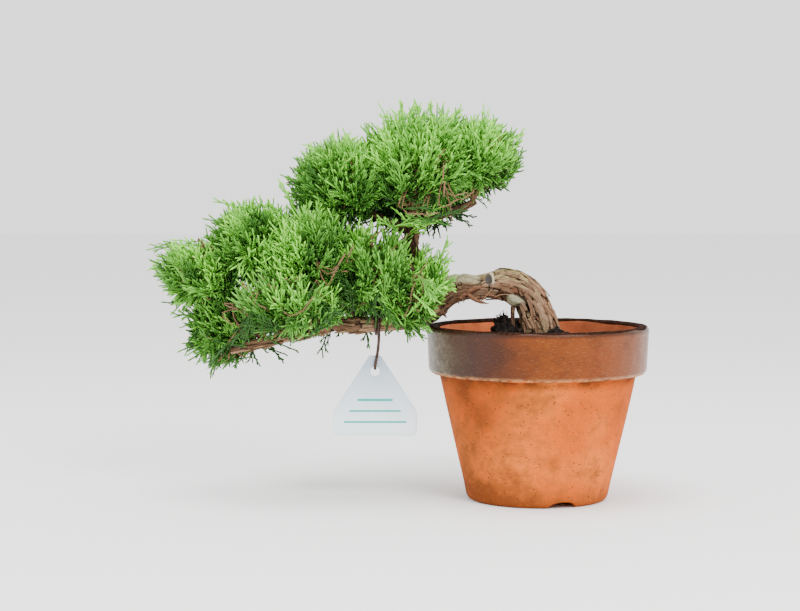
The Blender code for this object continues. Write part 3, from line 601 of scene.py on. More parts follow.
# %% [markdown]
# The trunk and boughs follow the same centre lines as their CAD solids: a smooth curve through
# (x, y, z, radius) points. The bark is relief in the mesh itself. Old juniper bark splits along
# the grain into plates that lift at their lower edge, over fine fibres, so the relief is a sum of
# stepped cells, a crack at each cell's edge, and noise drawn out along the limb.

# %% Centre lines of the limbs
# Rows of x, y, z and radius about the pot's axis, in tenths of a millimetre
TENTHS = 10000
LIMBS = {
    "trunk": (
        (12, 0, 845, 116), (10, 0, 920, 101), (-6, 0, 995, 92), (-32, 0, 1062, 87), (-74, 2, 1118, 85),
        (-128, 4, 1154, 84), (-192, 4, 1166, 83), (-265, 0, 1160, 70), (-340, -6, 1152, 61),
        (-405, -10, 1158, 68), (-458, -12, 1143, 73), (-515, -14, 1092, 66), (-560, -18, 1030, 57),
    ),
    "bough_cascade": (
        (-550, -17, 1044, 55), (-575, -20, 1016, 53), (-620, -24, 993, 48), (-700, -34, 972, 47),
        (-850, -40, 956, 44), (-1000, -20, 947, 42), (-1110, 0, 948, 39), (-1200, 6, 922, 36),
        (-1360, -30, 885, 30), (-1560, -70, 842, 25), (-1665, -80, 814, 21),
    ),
    "bough_apex": (
        (-495, -14, 1115, 50), (-570, 0, 1195, 44), (-640, 6, 1275, 39), (-681, 4, 1365, 37),
        (-688, 0, 1470, 38), (-684, 0, 1540, 32),
    ),
    "bough_top_right": (
        (-687, 0, 1478, 32), (-600, -14, 1510, 29), (-500, -32, 1556, 26), (-405, -40, 1586, 21),
        (-340, -36, 1620, 17),
    ),
    "bough_top_left": (
        (-687, 0, 1462, 31), (-785, 20, 1492, 27), (-890, 30, 1540, 23), (-980, 30, 1605, 18),
    ),
    "bough_top_back": ((-685, 2, 1400, 28), (-678, 95, 1438, 25), (-690, 180, 1560, 19)),
    "bough_fork_front": ((-505, -14, 1100, 30), (-570, -95, 1118, 26), (-630, -120, 1130, 20)),
    "bough_heart_right": ((-760, -36, 962, 30), (-788, -52, 1035, 26), (-840, -64, 1120, 19)),
    "bough_heart": ((-1090, -4, 949, 30), (-1135, -40, 1035, 26), (-1172, -70, 1140, 19)),
    "bough_shoulder": ((-1270, -10, 905, 26), (-1370, 22, 1010, 23), (-1460, 30, 1180, 18)),
    "bough_left": ((-1470, -52, 861, 23), (-1580, -30, 965, 20), (-1700, -12, 1090, 16)),
    "bough_front": ((-1190, 5, 925, 26), (-1225, -105, 950, 23), (-1270, -200, 990, 18)),
    "bough_back": ((-950, -28, 950, 28), (-985, 95, 985, 24), (-1030, 210, 1070, 18)),
    "aerial_root": (
        (-122, -10, 1100, 16), (-136, -12, 1030, 13), (-135, -10, 960, 13), (-128, -6, 860, 17),
    ),
}
limbs = {name: np.array(rows) / TENTHS for name, rows in LIMBS.items()}
BOUGHS = [name for name in limbs if name.startswith("bough")]
print("limbs:", len(limbs), "of which boughs:", len(BOUGHS))

# %% Curves along a limb
def spline(points, steps):
    """Catmull-Rom curve through points of any dimension, with this many samples to a span."""
    p = np.array(points, float)
    p = np.vstack([2 * p[0] - p[1], p, 2 * p[-1] - p[-2]])
    t = np.arange(steps) / steps
    basis = np.stack(
        [
            -0.5 * t + t**2 - 0.5 * t**3,
            1 - 2.5 * t**2 + 1.5 * t**3,
            0.5 * t + 2 * t**2 - 1.5 * t**3,
            -0.5 * t**2 + 0.5 * t**3,
        ],
        axis=1,
    )
    spans = [basis @ p[k : k + 4] for k in range(len(p) - 3)]
    return np.vstack([*spans, p[-2:-1]])


def limb_frame(samples):
    """For each sample: centre, radius, length so far, and two unit vectors square to the way on."""
    centre, radius = samples[:, :3], samples[:, 3]
    ahead = unit(np.gradient(centre, axis=0))
    fixed = np.eye(3)[np.argmin(np.abs(ahead).max(axis=0))]
    back = unit(fixed - ahead * (ahead @ fixed)[:, None])
    out = np.cross(back, ahead)
    gone = lengths(centre)
    return centre, radius, gone, out, back

# %% Bark relief
DRAWN_ROWS = 211  # rows of the tables of draws, after which the bark's noise repeats


def value_noise(u, v, columns, seed):
    """Smooth noise from -1 to 1 between seeded draws at whole numbers, repeating every `columns` in v."""
    table = np.random.default_rng(seed).uniform(-1, 1, (DRAWN_ROWS, columns))
    i, j = np.floor(u).astype(int), np.floor(v).astype(int)
    a, b = smooth_step(u - i), smooth_step(v - j)
    near, far = i % DRAWN_ROWS, (i + 1) % DRAWN_ROWS
    left, right = j % columns, (j + 1) % columns
    low = table[near, left] * (1 - b) + table[near, right] * b
    return low * (1 - a) + (table[far, left] * (1 - b) + table[far, right] * b) * a


def plates(u, v, columns, seed):
    """Jittered cells: the share along the nearest cell, its own draw, and the gap between the two nearest."""
    draws = np.random.default_rng(seed).uniform(0, 1, (DRAWN_ROWS, columns, 3))
    i, j = np.floor(u).astype(int), np.floor(v).astype(int)
    best, second = np.full(u.shape, 9.0), np.full(u.shape, 9.0)
    own, tail = np.zeros(u.shape), np.zeros(u.shape)
    for di in (-1, 0, 1):
        for dj in (-1, 0, 1):
            cell = draws[(i + di) % DRAWN_ROWS, (j + dj) % columns]
            du, dv = i + di + cell[..., 0] - u, j + dj + 0.15 + 0.7 * cell[..., 1] - v
            apart = np.hypot(du, dv)
            nearer = apart < best
            second = np.where(nearer, best, np.minimum(second, apart))
            own, tail = np.where(nearer, cell[..., 2], own), np.where(nearer, du, tail)
            best = np.where(nearer, apart, best)
    return tail, own, second - best


def bark_relief(gone, angle, radius, seed, plate_long=0.012, plate_wide=0.0042, deep=1.0):
    """Height in metres over the plain tube, and the values that the bark's colours read."""
    columns = max(3, round(2 * math.pi * float(np.mean(radius)) / plate_wide))
    turn = angle / (2 * math.pi)
    twist = turn + 2.2 * gone
    wobble = 0.35 * value_noise(gone / 0.006, twist * columns, columns, seed + 1)
    tail, own, gap = plates(gone / plate_long + wobble, twist * columns + wobble, columns, seed)
    fibres = max(24, round(2 * math.pi * float(np.mean(radius)) / 0.0007))
    fine = value_noise(gone / 0.0055, twist * fibres, fibres, seed + 2)
    finer = value_noise(gone / 0.0022, twist * fibres * 2, fibres * 2, seed + 3)
    crack = 1 - smooth_step(gap, 0.0, 0.16)
    shelf = 0.00042 * (own - 0.5) + 0.00034 * tail
    height = deep * (shelf - 0.0005 * crack + 0.00013 * fine + 0.00006 * finer)
    tone = np.clip(0.5 + 0.28 * fine + 0.22 * finer, 0, 1)
    return height, {"crack": crack, "plate": own, "fibre": tone}


def sweep_limb(samples, sides, seed, relief=bark_relief, shape=None, **options):
    """Points of a closed tube with relief: centre + (radius + height)(out cos a + back sin a)."""
    centre, radius, gone, out, back = limb_frame(samples)
    angle = np.linspace(0, 2 * math.pi, sides, endpoint=False)[None, :]
    height, values = relief(gone[:, None] + 0 * angle, angle + 0 * gone[:, None], radius, seed, **options)
    normal = out[:, None] * np.cos(angle)[..., None] + back[:, None] * np.sin(angle)[..., None]
    if shape:
        more, extra = shape(centre[:, None] + normal * radius[:, None, None], normal, gone, angle)
        height, values = height * extra.pop("calm", 1.0) + more, {**values, **extra}
    points = centre[:, None] + normal * (radius[:, None] + height)[..., None]
    values = {key: (number + 0 * height).ravel() for key, number in values.items()}
    return points, tube_faces(len(centre), sides), values

# %% Bark finishes
BARK_VALUES = ("crack", "plate", "fibre", "lichen", "pale", "char", "damp", "olive", "red")


def bark_material(name, dark, mid, light, olive, olive_share):
    """Old bark: fibre tones over plate tones, near black in the cracks, olive algae where it faces up."""
    made, tree, shader = start_material(name, Roughness=0.9, Specular_IOR_Level=0.2)
    read = {key: add(tree, "Attribute", attribute_name=key) for key in BARK_VALUES}
    coords = add(tree, "TexCoord").outputs["Object"]
    fine, patch, grit = (
        add(tree, "TexNoise", {"Vector": coords, "Scale": scale, "Detail": detail, "Roughness": 0.7})
        for scale, detail in ((900.0, 4.0), (120.0, 3.0), (1700.0, 3.0))
    )
    plate_tone, fibre_tone = (
        add(tree, "ValToRGB", (read[key],), stops=((0.1, dark), (0.5, mid), (0.9, light)))
        for key in ("plate", "fibre")
    )
    up = add(tree, "SeparateXYZ", (add(tree, "NewGeometry").outputs["Normal"],))
    layers = (
        (0.5, fibre_tone),
        ((up.outputs["Z"], 0.15, 0.75, 0.0, olive_share), (patch, 0.4, 0.6), olive),
        ((read["olive"], 0.0, 1.0, 0.0, 0.85), "#96845C"),
        (read["red"], "#7E4C36"),
        # Painted shade and real damp, from the trunk's shape: dark brown, with specks of moss
        (read["damp"], "#2A1E16"),
        (read["damp"], (fine, 0.46, 0.58, 0.0, 0.9), "#8C8458"),
        ((grit, 0.54, 0.66, 0.0, 0.6), dark),
        (read["lichen"], (fine, 0.36, 0.56, 0.35, 1.0), "#A6A688"),
        ((fine, 0.6, 0.7, 0.0, 0.45), light),
        (read["crack"], "#140D0A"),
        (read["char"], "#3A3B3B"),
        (read["pale"], "#CFC4AE"),
    )
    paint(tree, shader, plate_tone, layers, fine, 0.6, 0.0004)
    return made


old_bark = bark_material("flaking_juniper_bark", "#2E1E15", "#6A4C38", "#A6876C", "#A29064", 0.9)
young_bark = bark_material("dark_bough_bark", "#1C110C", "#4E3425", "#84634A", "#5E563A", 0.35)
shed_bark = bark_material("reddish_shed_bark", "#2E1B14", "#6B4632", "#A07A5C", "#75684A", 0.0)
cascade_bark = bark_material("peeling_bough_bark", "#33241A", "#6E5039", "#A98A68", "#7E7450", 0.35)

# %% [markdown]
# The trunk's arch carries what the eye picks out first: a root flare, a smooth bulge grown over
# with pale lichen, a hollow under it, a round knot, and a pruning scar with a rim of callus. Each
# is a soft bump or dent at its own place on the front, added to the bark relief.

# %% Features of the trunk
FEATURES = (
    # name, x and z of its place, half sizes along and across, tilt, height, and the value it colours
    ("bulge", -0.012, 0.1082, 0.0068, 0.0029, -0.62, 0.0024, "lichen"),
    ("hollow", -0.0074, 0.1038, 0.0046, 0.0023, -0.35, -0.0036, "crack"),
    ("scar", -0.027, 0.1195, 0.0019, 0.0028, 0.1, -0.001, "char"),
    ("scar_rim", -0.0268, 0.12, 0.0031, 0.0043, 0.1, 0.0008, None),
    ("scar_split", -0.0267, 0.1148, 0.0005, 0.0026, 0.0, -0.0004, "crack"),
    ("knot", -0.0428, 0.117, 0.0024, 0.003, 0.15, 0.0009, None),
    ("waist", -0.033, 0.112, 0.006, 0.003, 0.0, -0.0012, None),
    ("red_plate", -0.0138, 0.1148, 0.0085, 0.0026, -0.3, 0.0003, "red"),
    ("split_low", -0.002, 0.101, 0.0045, 0.0008, -1.15, -0.001, "crack"),
    ("split_mid", -0.0165, 0.1128, 0.0075, 0.0006, -0.22, -0.0007, "crack"),
)
# Where along x the top of the arm is pale, leftwards, and where the top of the arch is olive
ARM_BAND, ARCH_BAND = (0.03, 0.034, 0.049, 0.053), (-0.031, -0.026, -0.004, 0.0)
FLARE_RADIUS = 0.009  # the trunk's own, about, which the flare and the flutes are shares of

# %% Shape of the trunk
def raise_to(values, key, level):
    """Keeps the higher of a value and a new level of it."""
    values[key] = np.maximum(values[key], level)


def trunk_shape(points, normal, gone, angle):
    """Root flare low down, flutes along the limb, and the named features on its front."""
    x, z = points[..., 0], points[..., 2]
    lobes = np.cos(5 * angle + 0.6 + 18 * gone[:, None])
    more = FLARE_RADIUS * (0.15 * np.exp(-gone / 0.008)[:, None] * (0.4 + lobes) + 0.035 * lobes)
    more = more + 0.0005 * waves(points, 0.014, 41)
    front = smooth_step(-normal[..., 1], -0.15, 0.35)
    values = {key: 0 * x for key in ("lichen", "pale", "char", "red", "hollow_dark")}
    calm = np.ones(x.shape)
    for name, fx, fz, along, across, tilt, rise, key in FEATURES:
        dx, dz = x - fx, z - fz
        u = (dx * math.cos(tilt) + dz * math.sin(tilt)) / along
        v = (dz * math.cos(tilt) - dx * math.sin(tilt)) / across
        reach = np.sqrt(u**2 + v**2)
        bump = front * np.exp(-(reach**3))
        if name == "knot":
            rings = 0.5 + 0.5 * np.cos(reach * 9.0)
            more = more + rise * bump * (0.3 + rings)
            values["knot_ring"] = bump * (1 - rings)
        else:
            more = more + rise * bump
        if key == "lichen":
            raise_to(values, "lichen", 0.95 * front * (1 - smooth_step(reach, 0.8, 1.0)))
            # Painted shadow: a dark line just outside the bulge, on its right
            line = 0.9 * front * np.exp(-(((reach - 1.1) / 0.13) ** 2)) * smooth_step(x, -0.0145, -0.0115)
            raise_to(values, "hollow_dark", line)
            calm = calm * (1 - 0.6 * bump)
        # A split is the bark's own dark crack; the dark in the hollow under the bulge is painted shade
        elif key == "crack":
            raise_to(values, "hollow_dark", front * (1 - smooth_step(reach, 0.6, 1.15)))
        elif key == "red":
            raise_to(values, "red", 0.6 * front * (1 - smooth_step(reach, 0.6, 1.3)))
        elif key == "char":
            inside = front * (1 - smooth_step(reach, 0.85, 1.1))
            values["char"] = inside * 0.9
            rim = front * np.exp(-(((reach - 1.35) / 0.24) ** 2))
            values["pale"] = rim * smooth_step(x + 0.6 * z, fx + 0.6 * fz, fx + 0.6 * fz + 0.002)
            calm = calm * (1 - 0.6 * inside)
    # Lichen lies on the top of the arm, and the top of the arch is smooth and olive down to a crack
    rise, edge = normal[..., 2], 0.4 + 0.45 * smooth_step(x, -0.014, -0.005)
    top = smooth_step(rise, 0.2, 0.55) * between(-x, ARM_BAND)
    raise_to(values, "lichen", 0.65 * top)
    arch = between(x, ARCH_BAND)
    values["olive"] = arch * smooth_step(rise, edge, edge + 0.1) * (1 - values["char"])
    line = arch * np.exp(-(((rise - edge + 0.03) / 0.045) ** 2))
    raise_to(values, "hollow_dark", 0.85 * line)
    more = more - 0.0005 * line + 0.0003 * values["olive"]
    calm = calm * (1 - 0.8 * values["olive"])
    outer = smooth_step(normal[..., 0], 0.2, 0.6) * smooth_step(x, -0.014, -0.006)
    raise_to(values, "red", 0.45 * outer)
    # Painted shade on the undersides right of the arch, and the lower trunk darker where it is damp
    shaded = smooth_step(x, -0.016, -0.004) * (1 - smooth_step(rise, 0.1, 0.55)) * (1 - outer)
    values["damp"] = (0.3 * shaded + 0.25 * smooth_step(-z, -0.108, -0.094)) * (1 - values["lichen"])
    return more, {**values, "calm": calm}


def merge_dark(values):
    """The splits, the painted shade in the hollow and the painted shadow beside the bulge, and the knot's
    rings darken as cracks do.
    """
    for key, share in (("hollow_dark", 0.95), ("knot_ring", 0.55)):
        if key in values:
            raise_to(values, "crack", share * values.pop(key))
    values["crack"] = values["crack"] * (1 - 0.8 * values.get("lichen", 0)) * (1 - values.get("pale", 0))
    return values

# %% Bark of the trunk
TRUNK_STEPS, TRUNK_SIDES = 33, 144
trunk_samples = spline(limbs["trunk"], TRUNK_STEPS)
points, faces, values = sweep_limb(
    trunk_samples, TRUNK_SIDES, 51, shape=trunk_shape, plate_long=0.013, plate_wide=0.0048, deep=1.25
)
trunk = (points, faces, merge_dark(values))
piece("trunk_bark", trunk, old_bark, nodes=["trunk_foot", "trunk_arm"])

# %% Boughs
SIDE_BARK = (24, 28, 0.01, 0.0026, 0.55, young_bark)
SIDE_SEED = 63
BARKS = {
    # piece, seed, samples to a span, sides, plate length and width, depth of the relief, finish
    "bough_cascade": ("cascade_bark", 61, 46, 64, 0.014, 0.0036, 0.9, cascade_bark),
    "bough_apex": ("apex_bark", 62, 40, 64, 0.016, 0.0034, 1.0, young_bark),
    "aerial_root": ("aerial_root_bark", 80, 24, 24, 0.008, 0.002, 0.5, old_bark),
}
for number, limb in enumerate((*BOUGHS, "aerial_root")):
    usual = (limb.replace("bough", "bark"), SIDE_SEED + number, *SIDE_BARK)
    name, seed, steps, sides, long, wide, deep, finish = BARKS.get(limb, usual)
    tube = sweep_limb(spline(limbs[limb], steps), sides, seed, plate_long=long, plate_wide=wide, deep=deep)
    piece(name, tube, finish, nodes=[limb])

# %% [markdown]
# Old bark also comes away in strips. A strip is a small curved sheet laid along the limb, fixed at
# one end and lifted at the other, with a real thickness, so that it casts a shadow line.

# %% Loose strips of bark
def strips(samples, starts, turns, longs, wides, lifts, seed, rows=9, columns=5, thick=0.00028):
    """Closed sheets on a limb. Row u of a strip lies at length start + u * long, raised by lift * u^2."""
    centre, radius, gone, out, back = limb_frame(samples)
    draw = np.random.default_rng(seed)
    u = np.linspace(0, 1, rows)[None, :, None]
    v = np.linspace(-1, 1, columns)[None, None, :]
    lists = (starts, turns, longs, wides, lifts)
    starts, turns, longs, wides, lifts = (np.asarray(a, float)[:, None, None] for a in lists)
    width = wides / 2 * (1 - 0.55 * u**2) * (1 + 0.15 * np.sin(7 * u + draw.uniform(0, 6, starts.shape)))
    at = np.clip(starts + longs * u, 0, gone[-1]) + 0 * v
    where = [np.interp(at, gone, a) for a in (*centre.T, radius, *out.T, *back.T)]
    middle, r = np.stack(where[:3], -1), where[3]
    side, rear = unit(np.stack(where[4:7], -1)), unit(np.stack(where[7:], -1))
    angle = turns + v * width / r + 0.25 * u * draw.uniform(-1, 1, starts.shape)
    away = side * np.cos(angle)[..., None] + rear * np.sin(angle)[..., None]
    curl = 0.0003 + lifts * u**2 * (1 - 0.25 * v**2) + 0.0002 * np.sin(5 * u + 3 * v)
    skin = middle + away * (r + curl + thick)[..., None]
    under = middle + away * (r + curl - thick * 0.3)[..., None]
    count = len(starts)
    rims = np.concatenate([skin, under[:, :, ::-1]], axis=2)
    around = 2 * columns
    body = grid_faces(rows, around)
    c = np.arange(columns - 1)
    first = np.stack([c, around - 1 - c, around - 2 - c, c + 1], axis=1)
    last = (rows - 1) * around + first[:, ::-1]
    step = (np.arange(count) * rows * around)[:, None, None]
    quads = (np.concatenate([body, first, last])[None] + step).reshape(-1, 4)
    points = rims.reshape(-1, 3)
    tone = np.repeat(draw.uniform(0.1, 0.9, count), rows * around)
    grain = 0.5 + 0.4 * np.sin(np.tile(np.arange(around), count * rows) * 2.3 + tone * 20)
    return points, [quads], {"plate": tone, "fibre": grain, "crack": 0 * tone}


draw = np.random.default_rng(SEED + 5)
TRUNK_STRIPS, CASCADE_STRIPS = 46, 40
count = TRUNK_STRIPS
front_turns = draw.uniform(-2.6, 0.9, count)
trunk_strips = strips(
    trunk_samples,
    draw.uniform(0.004, 0.036, count),
    front_turns,
    draw.uniform(0.006, 0.014, count),
    draw.uniform(0.0014, 0.0034, count),
    draw.uniform(0.0001, 0.0008, count),
    91,
)
piece("trunk_strips", trunk_strips, old_bark, nodes=["trunk_foot"])
# The large flap on the right of the arch, the strips under the arm, and the back's own strips
trunk_flaps = strips(
    trunk_samples,
    (0.018, 0.02, 0.034, 0.0325, 0.056, 0.06, 0.052, 0.044, 0.015, 0.022, 0.03, 0.038, 0.048),
    (0.05, -0.35, -0.12, -0.5, 3.6, 4.0, 3.9, 3.4, 1.4, 2.0, 1.7, 2.4, 1.9),
    (-0.015, -0.013, -0.0125, -0.01, 0.011, 0.01, -0.008, 0.009, -0.011, -0.012, 0.011, 0.012, 0.01),
    (0.0052, 0.0036, 0.0058, 0.004, 0.0026, 0.002, 0.0022, 0.002, 0.004, 0.003, 0.003, 0.0036, 0.0028),
    (0.0013, 0.0006, 0.0017, 0.0006, 0.0018, 0.001, 0.0024, 0.001, 0.0008, 0.0007, 0.0009, 0.0006, 0.0008),
    92,
)
piece("trunk_flaps", trunk_flaps, shed_bark, nodes=["trunk_foot", "trunk_arm"])
cascade_samples = spline(limbs["bough_cascade"], 20)
count = CASCADE_STRIPS
cascade_strips = strips(
    cascade_samples,
    draw.uniform(0.004, 0.1, count),
    draw.uniform(0, 2 * math.pi, count),
    draw.uniform(0.005, 0.013, count),
    draw.uniform(0.001, 0.0024, count),
    draw.uniform(0.0002, 0.0009, count),
    93,
)
piece("cascade_strips", cascade_strips, cascade_bark, nodes=["bough_cascade"])

# %% [markdown]
# Foliage is what makes the tree. On a Chinese juniper the leaves are tiny scales pressed flat on
# the shoot, so a shoot reads as a green cord a millimetre thick, and the cords branch into fans.
# The growing rule is the source's: each mass has its own rounded space, a leading shoot and
# shoots spread on a golden spiral, that lean outwards and up, keep to the space and miss the
# bark. Here there are thousands of sprays, not dozens. They gather in tufts, because every
# small bough lifts its own cushion, and between two tufts the eye looks into the dark.

# %% Spaces of the masses
SPACES = {
    # mass: its bough, the middle, the half sizes, and the way its sprays drift
    "foliage_top_middle": ("bough_apex", (-0.063, -0.002, 0.184), (0.034, 0.036, 0.0312), (0.0, 0.0, 0.1)),
    "foliage_top_right": ("bough_top_right", (-0.031, 0.0, 0.186), (0.0235, 0.031, 0.024), (0.3, 0.0, 0.0)),
    "foliage_top_left": ("bough_top_left", (-0.107, 0.002, 0.174), (0.029, 0.034, 0.027), (-0.3, 0.0, 0.0)),
    "foliage_top_back": ("bough_top_back", (-0.07, 0.036, 0.178), (0.038, 0.023, 0.027), (0.1, 0.2, 0.0)),
    "foliage_shoulder": ("bough_shoulder", (-0.154, 0.002, 0.139), (0.029, 0.036, 0.025), (-0.3, 0.0, 0.1)),
    "foliage_left_end": ("bough_left", (-0.1855, -0.002, 0.122), (0.0245, 0.029, 0.0215), (-0.7, 0.0, -0.1)),
    "foliage_low_end": ("bough_cascade", (-0.172, 0.003, 0.095), (0.022, 0.026, 0.0245), (-0.7, 0.0, -0.3)),
    "foliage_heart": ("bough_heart", (-0.122, -0.01, 0.133), (0.028, 0.04, 0.031), (0.0, 0.0, 0.1)),
    "foliage_heart_right": (
        "bough_heart_right", (-0.091, -0.008, 0.127), (0.024, 0.038, 0.027), (0.1, 0.0, 0.1),
    ),
    "foliage_fork": ("bough_fork_front", (-0.068, -0.01, 0.116), (0.024, 0.034, 0.025), (0.3, 0.0, 0.0)),
    "foliage_front_low": ("bough_front", (-0.134, -0.031, 0.108), (0.031, 0.023, 0.019), (-0.3, 0.0, -0.1)),
    "foliage_back_low": ("bough_back", (-0.114, 0.038, 0.121), (0.046, 0.0205, 0.028), (-0.1, 0.2, 0.0)),
}
NAMES = list(SPACES)
CENTRES = np.array([SPACES[name][1] for name in NAMES])
HALVES = np.array([SPACES[name][2] for name in NAMES])
DRIFTS = np.array([SPACES[name][3] for name in NAMES])
LAYERS = ((1.0, 1.0), (0.87, 0.9), (0.72, 0.62), (0.52, 0.34))  # depth, share of the skin's sprays
SPRAYS_AT_SKIN = 1.7e4  # sprays to a square metre of a mass's skin, which is one to 59 mm2
TUFTS, TUFT_FALL = 24, 0.95
SPRAY_LONG = (0.019, 0.03)
EDGE_TRIES, EDGE_PULL = 6, 0.93  # a tip outside the pads' outline is pulled in, so often and so far
# How far a spray may reach into other masses or past the skin, and how far it stays off pot and bark
INTO_OTHERS, PAST_SKIN = 0.22, 1.06
POT_CLEAR, TIP_CLEAR, KNEE_CLEAR = 0.0016, 0.0008, 0.0012
UP = np.array((0.0, 0.0, 1.0))

# %% [markdown]
# The pads end raggedly, and sky shows through in places. Their outline is written down as corner
# points in millimetres, read against a grid laid over the picture, and so are the open places. A
# point in space is compared with them where the camera sees it in the pot's own upright plane.

# %% Outline of the pads and open places
PAD_EDGE = 0.001 * np.array(
    (
        (-139, 171), (-132, 177), (-127, 186), (-122, 192), (-116, 191), (-110, 197), (-104, 199),
        (-99, 195), (-95, 196), (-93, 204), (-87, 209), (-80, 212), (-73, 214), (-68, DRAWN_ROWS), (-62, 214),
        (-56, 214), (-49, 212), (-42, 210), (-38, 206), (-32, 204), (-27, 205), (-22, 200), (-16, 198),
        (-11, 195), (-11, 187), (-13, 179), (-19, 173), (-26, 166), (-33, 159), (-40, 155), (-49, 151),
        (-55, 149), (-60, 149), (-61, 139), (-55, 138), (-49, 139), (-47, 131), (-48, 122), (-47, 116),
        (-52, 112), (-58, 109), (-59, 97), (-60, 89), (-68, 88), (-74, 92), (-87, 93), (-90, 89),
        (-95, 92), (-112, 95), (-124, 91), (-140, 84), (-150, 82), (-156, 76), (-168, 73), (-177, 71),
        (-186, 77), (-188, 88), (-193, 95), (-197, 103), (-196, 110), (-201, 115), (-204, 121),
        (-207, 127), (-205, 133), (-199, 137), (-190, 136), (-182, 135), (-178, 139), (-176, 148),
        (-169, 152), (-167, 158), (-160, 160), (-152, 160), (-145, 159), (-140, 162),
    )
)
# x, z, radius in mm, and the share of sprays that stay
OPEN_PLACES = (
    (-86, 142, 6, 0.1), (-59, 144, 7, 0), (-104, 160, 7, 0.35), (-148, 93, 5, 0.1), (-164, 85, 3, 0),
    (-68, 144, 5, 0), (-67, 138, 4.5, 0), (-66, 132, 4, 0.1), (-66, 128, 3, 0.2),
)
EYE = np.array((CAMERA_PLACE[0] - POT_X, CAMERA_PLACE[1], CAMERA_PLACE[2]))

# %% Rules of the open places
def as_seen(points):
    """Carries points along the line of sight to the plane y = 0: eye + (p - eye) * |eye y| / (p - eye) y."""
    return EYE + (points - EYE) * (-EYE[1] / (points[:, 1:2] - EYE[1]))


def inside_edge(points):
    """Even-odd rule: a level line to the right of a point inside crosses the outline an odd number of
    times."""
    seen = as_seen(points)
    x, z = seen[:, 0:1], seen[:, 2:3]
    ax, az = PAD_EDGE.T
    bx, bz = np.roll(PAD_EDGE, -1, axis=0).T
    rise = np.where(az == bz, 1.0, bz - az)
    return (((az > z) != (bz > z)) & (x < ax + (z - az) * (bx - ax) / rise)).sum(axis=1) % 2 == 1


def stays_open(points, draw):
    """True where a seeded draw leaves the spray out, so that an open place of the picture stays open."""
    seen = as_seen(points) * 1000
    chance = draw.uniform(0, 1, len(points))
    gone = np.zeros(len(points), bool)
    for x, z, radius, share in OPEN_PLACES:
        gone |= (np.hypot(seen[:, 0] - x, seen[:, 2] - z) < radius) & (chance > share)
    return gone


def gauges(points):
    """How far out points lie in every space: 0 at its centre, 1 on its skin."""
    return np.linalg.norm((points[..., None, :] - CENTRES) / HALVES, axis=-1)


bark_points = np.vstack([spline(limb, 9) for limb in limbs.values()])


def off_bark(points):
    """Distance from points to the nearest bark, worked out in slices to save memory."""
    parts = []
    for some in np.array_split(points, max(1, len(points) // 3000)):
        away = np.linalg.norm(some[:, None] - bark_points[None, :, :3], axis=2)
        parts.append((away - bark_points[None, :, 3]).min(axis=1))
    return np.concatenate(parts)


def off_pot(points, margin=POT_CLEAR):
    """True above the rim or outside the pot."""
    return (points[:, 2] > POT_HEIGHT + margin) | (np.hypot(points[:, 0], points[:, 1]) > RIM_RADIUS + margin)


def golden_ways(count, seed):
    """Unit vectors spread evenly over a sphere on a golden spiral, each nudged by a seeded draw."""
    draw = np.random.default_rng(seed)
    k = np.arange(count) + 0.5
    z = 1 - 2 * k / count
    turn = k * math.pi * (3 - math.sqrt(5)) + draw.uniform(0, 2 * math.pi)
    flat = np.sqrt(1 - z**2)
    ways = np.stack([flat * np.cos(turn), flat * np.sin(turn), z], axis=1)
    return unit(ways + draw.normal(0, 0.07, ways.shape))


# %% [markdown]
# A spray belongs to the tuft whose axis is nearest. Its tip stands highest near that axis, by
# 1 - fall * angle^2, and it fans away from a point inside the tuft. It starts outwards and bends
# up towards the light, as the real shoots do, except under the pads, where it droops.

# %% Where the sprays grow
def grow_sprays():
    """Tip, way at the tip, way at the foot, length, mass, depth and tone of every spray of the rule."""
    found = []
    for number in range(len(NAMES)):
        draw = np.random.default_rng(SEED + number)
        middle, half = CENTRES[number], HALVES[number]
        skin = 4 * math.pi * (np.prod(half) ** (2 / 3))
        axes = golden_ways(TUFTS, SEED + 900 + number)
        tall, tone = draw.uniform(0.88, 1.07, TUFTS), draw.normal(0, 1, TUFTS)
        nod = unit(draw.normal(size=(TUFTS, 3)))
        for level, share in LAYERS:
            count = int(SPRAYS_AT_SKIN * skin * share)
            ways = golden_ways(count, SEED + 40 * number + int(10 * level))
            cosine = np.clip(ways @ axes.T, -1, 1)
            own = cosine.argmax(axis=1)
            depth = level * tall[own] * (1 - TUFT_FALL * np.arccos(cosine.max(axis=1)) ** 2)
            depth *= draw.uniform(0.95, 1.05, count)
            for _ in range(EDGE_TRIES):
                tips = middle + ways * half * depth[:, None]
                depth = np.where(inside_edge(tips), depth, depth * EDGE_PULL)
            outward = unit(tips - (middle + axes[own] * half * 0.3))
            loose = unit(draw.normal(size=(count, 3)))
            rise = 0.85 * smooth_step(ways[:, 2], -0.85, -0.1) - 0.1
            lean = 0.62 * outward + UP * rise[:, None] + 0.3 * nod[own] + 0.26 * loose + 0.6 * DRIFTS[number]
            lean = unit(lean)
            start = unit(lean + 1.3 * outward)
            long = draw.uniform(*SPRAY_LONG, count) * (0.76 + 0.24 * level)
            found.append((tips, lean, start, long, np.full(count, number), np.full(count, level), tone[own]))
    return [np.concatenate(parts) for parts in zip(*found)]


def curve_of(tips, leans, starts, longs):
    """Foot and knee of the curve on which a spray stands, with half its length to each side of the knee."""
    knees = tips - leans * (0.5 * longs)[:, None]
    return knees - starts * (0.5 * longs)[:, None], knees


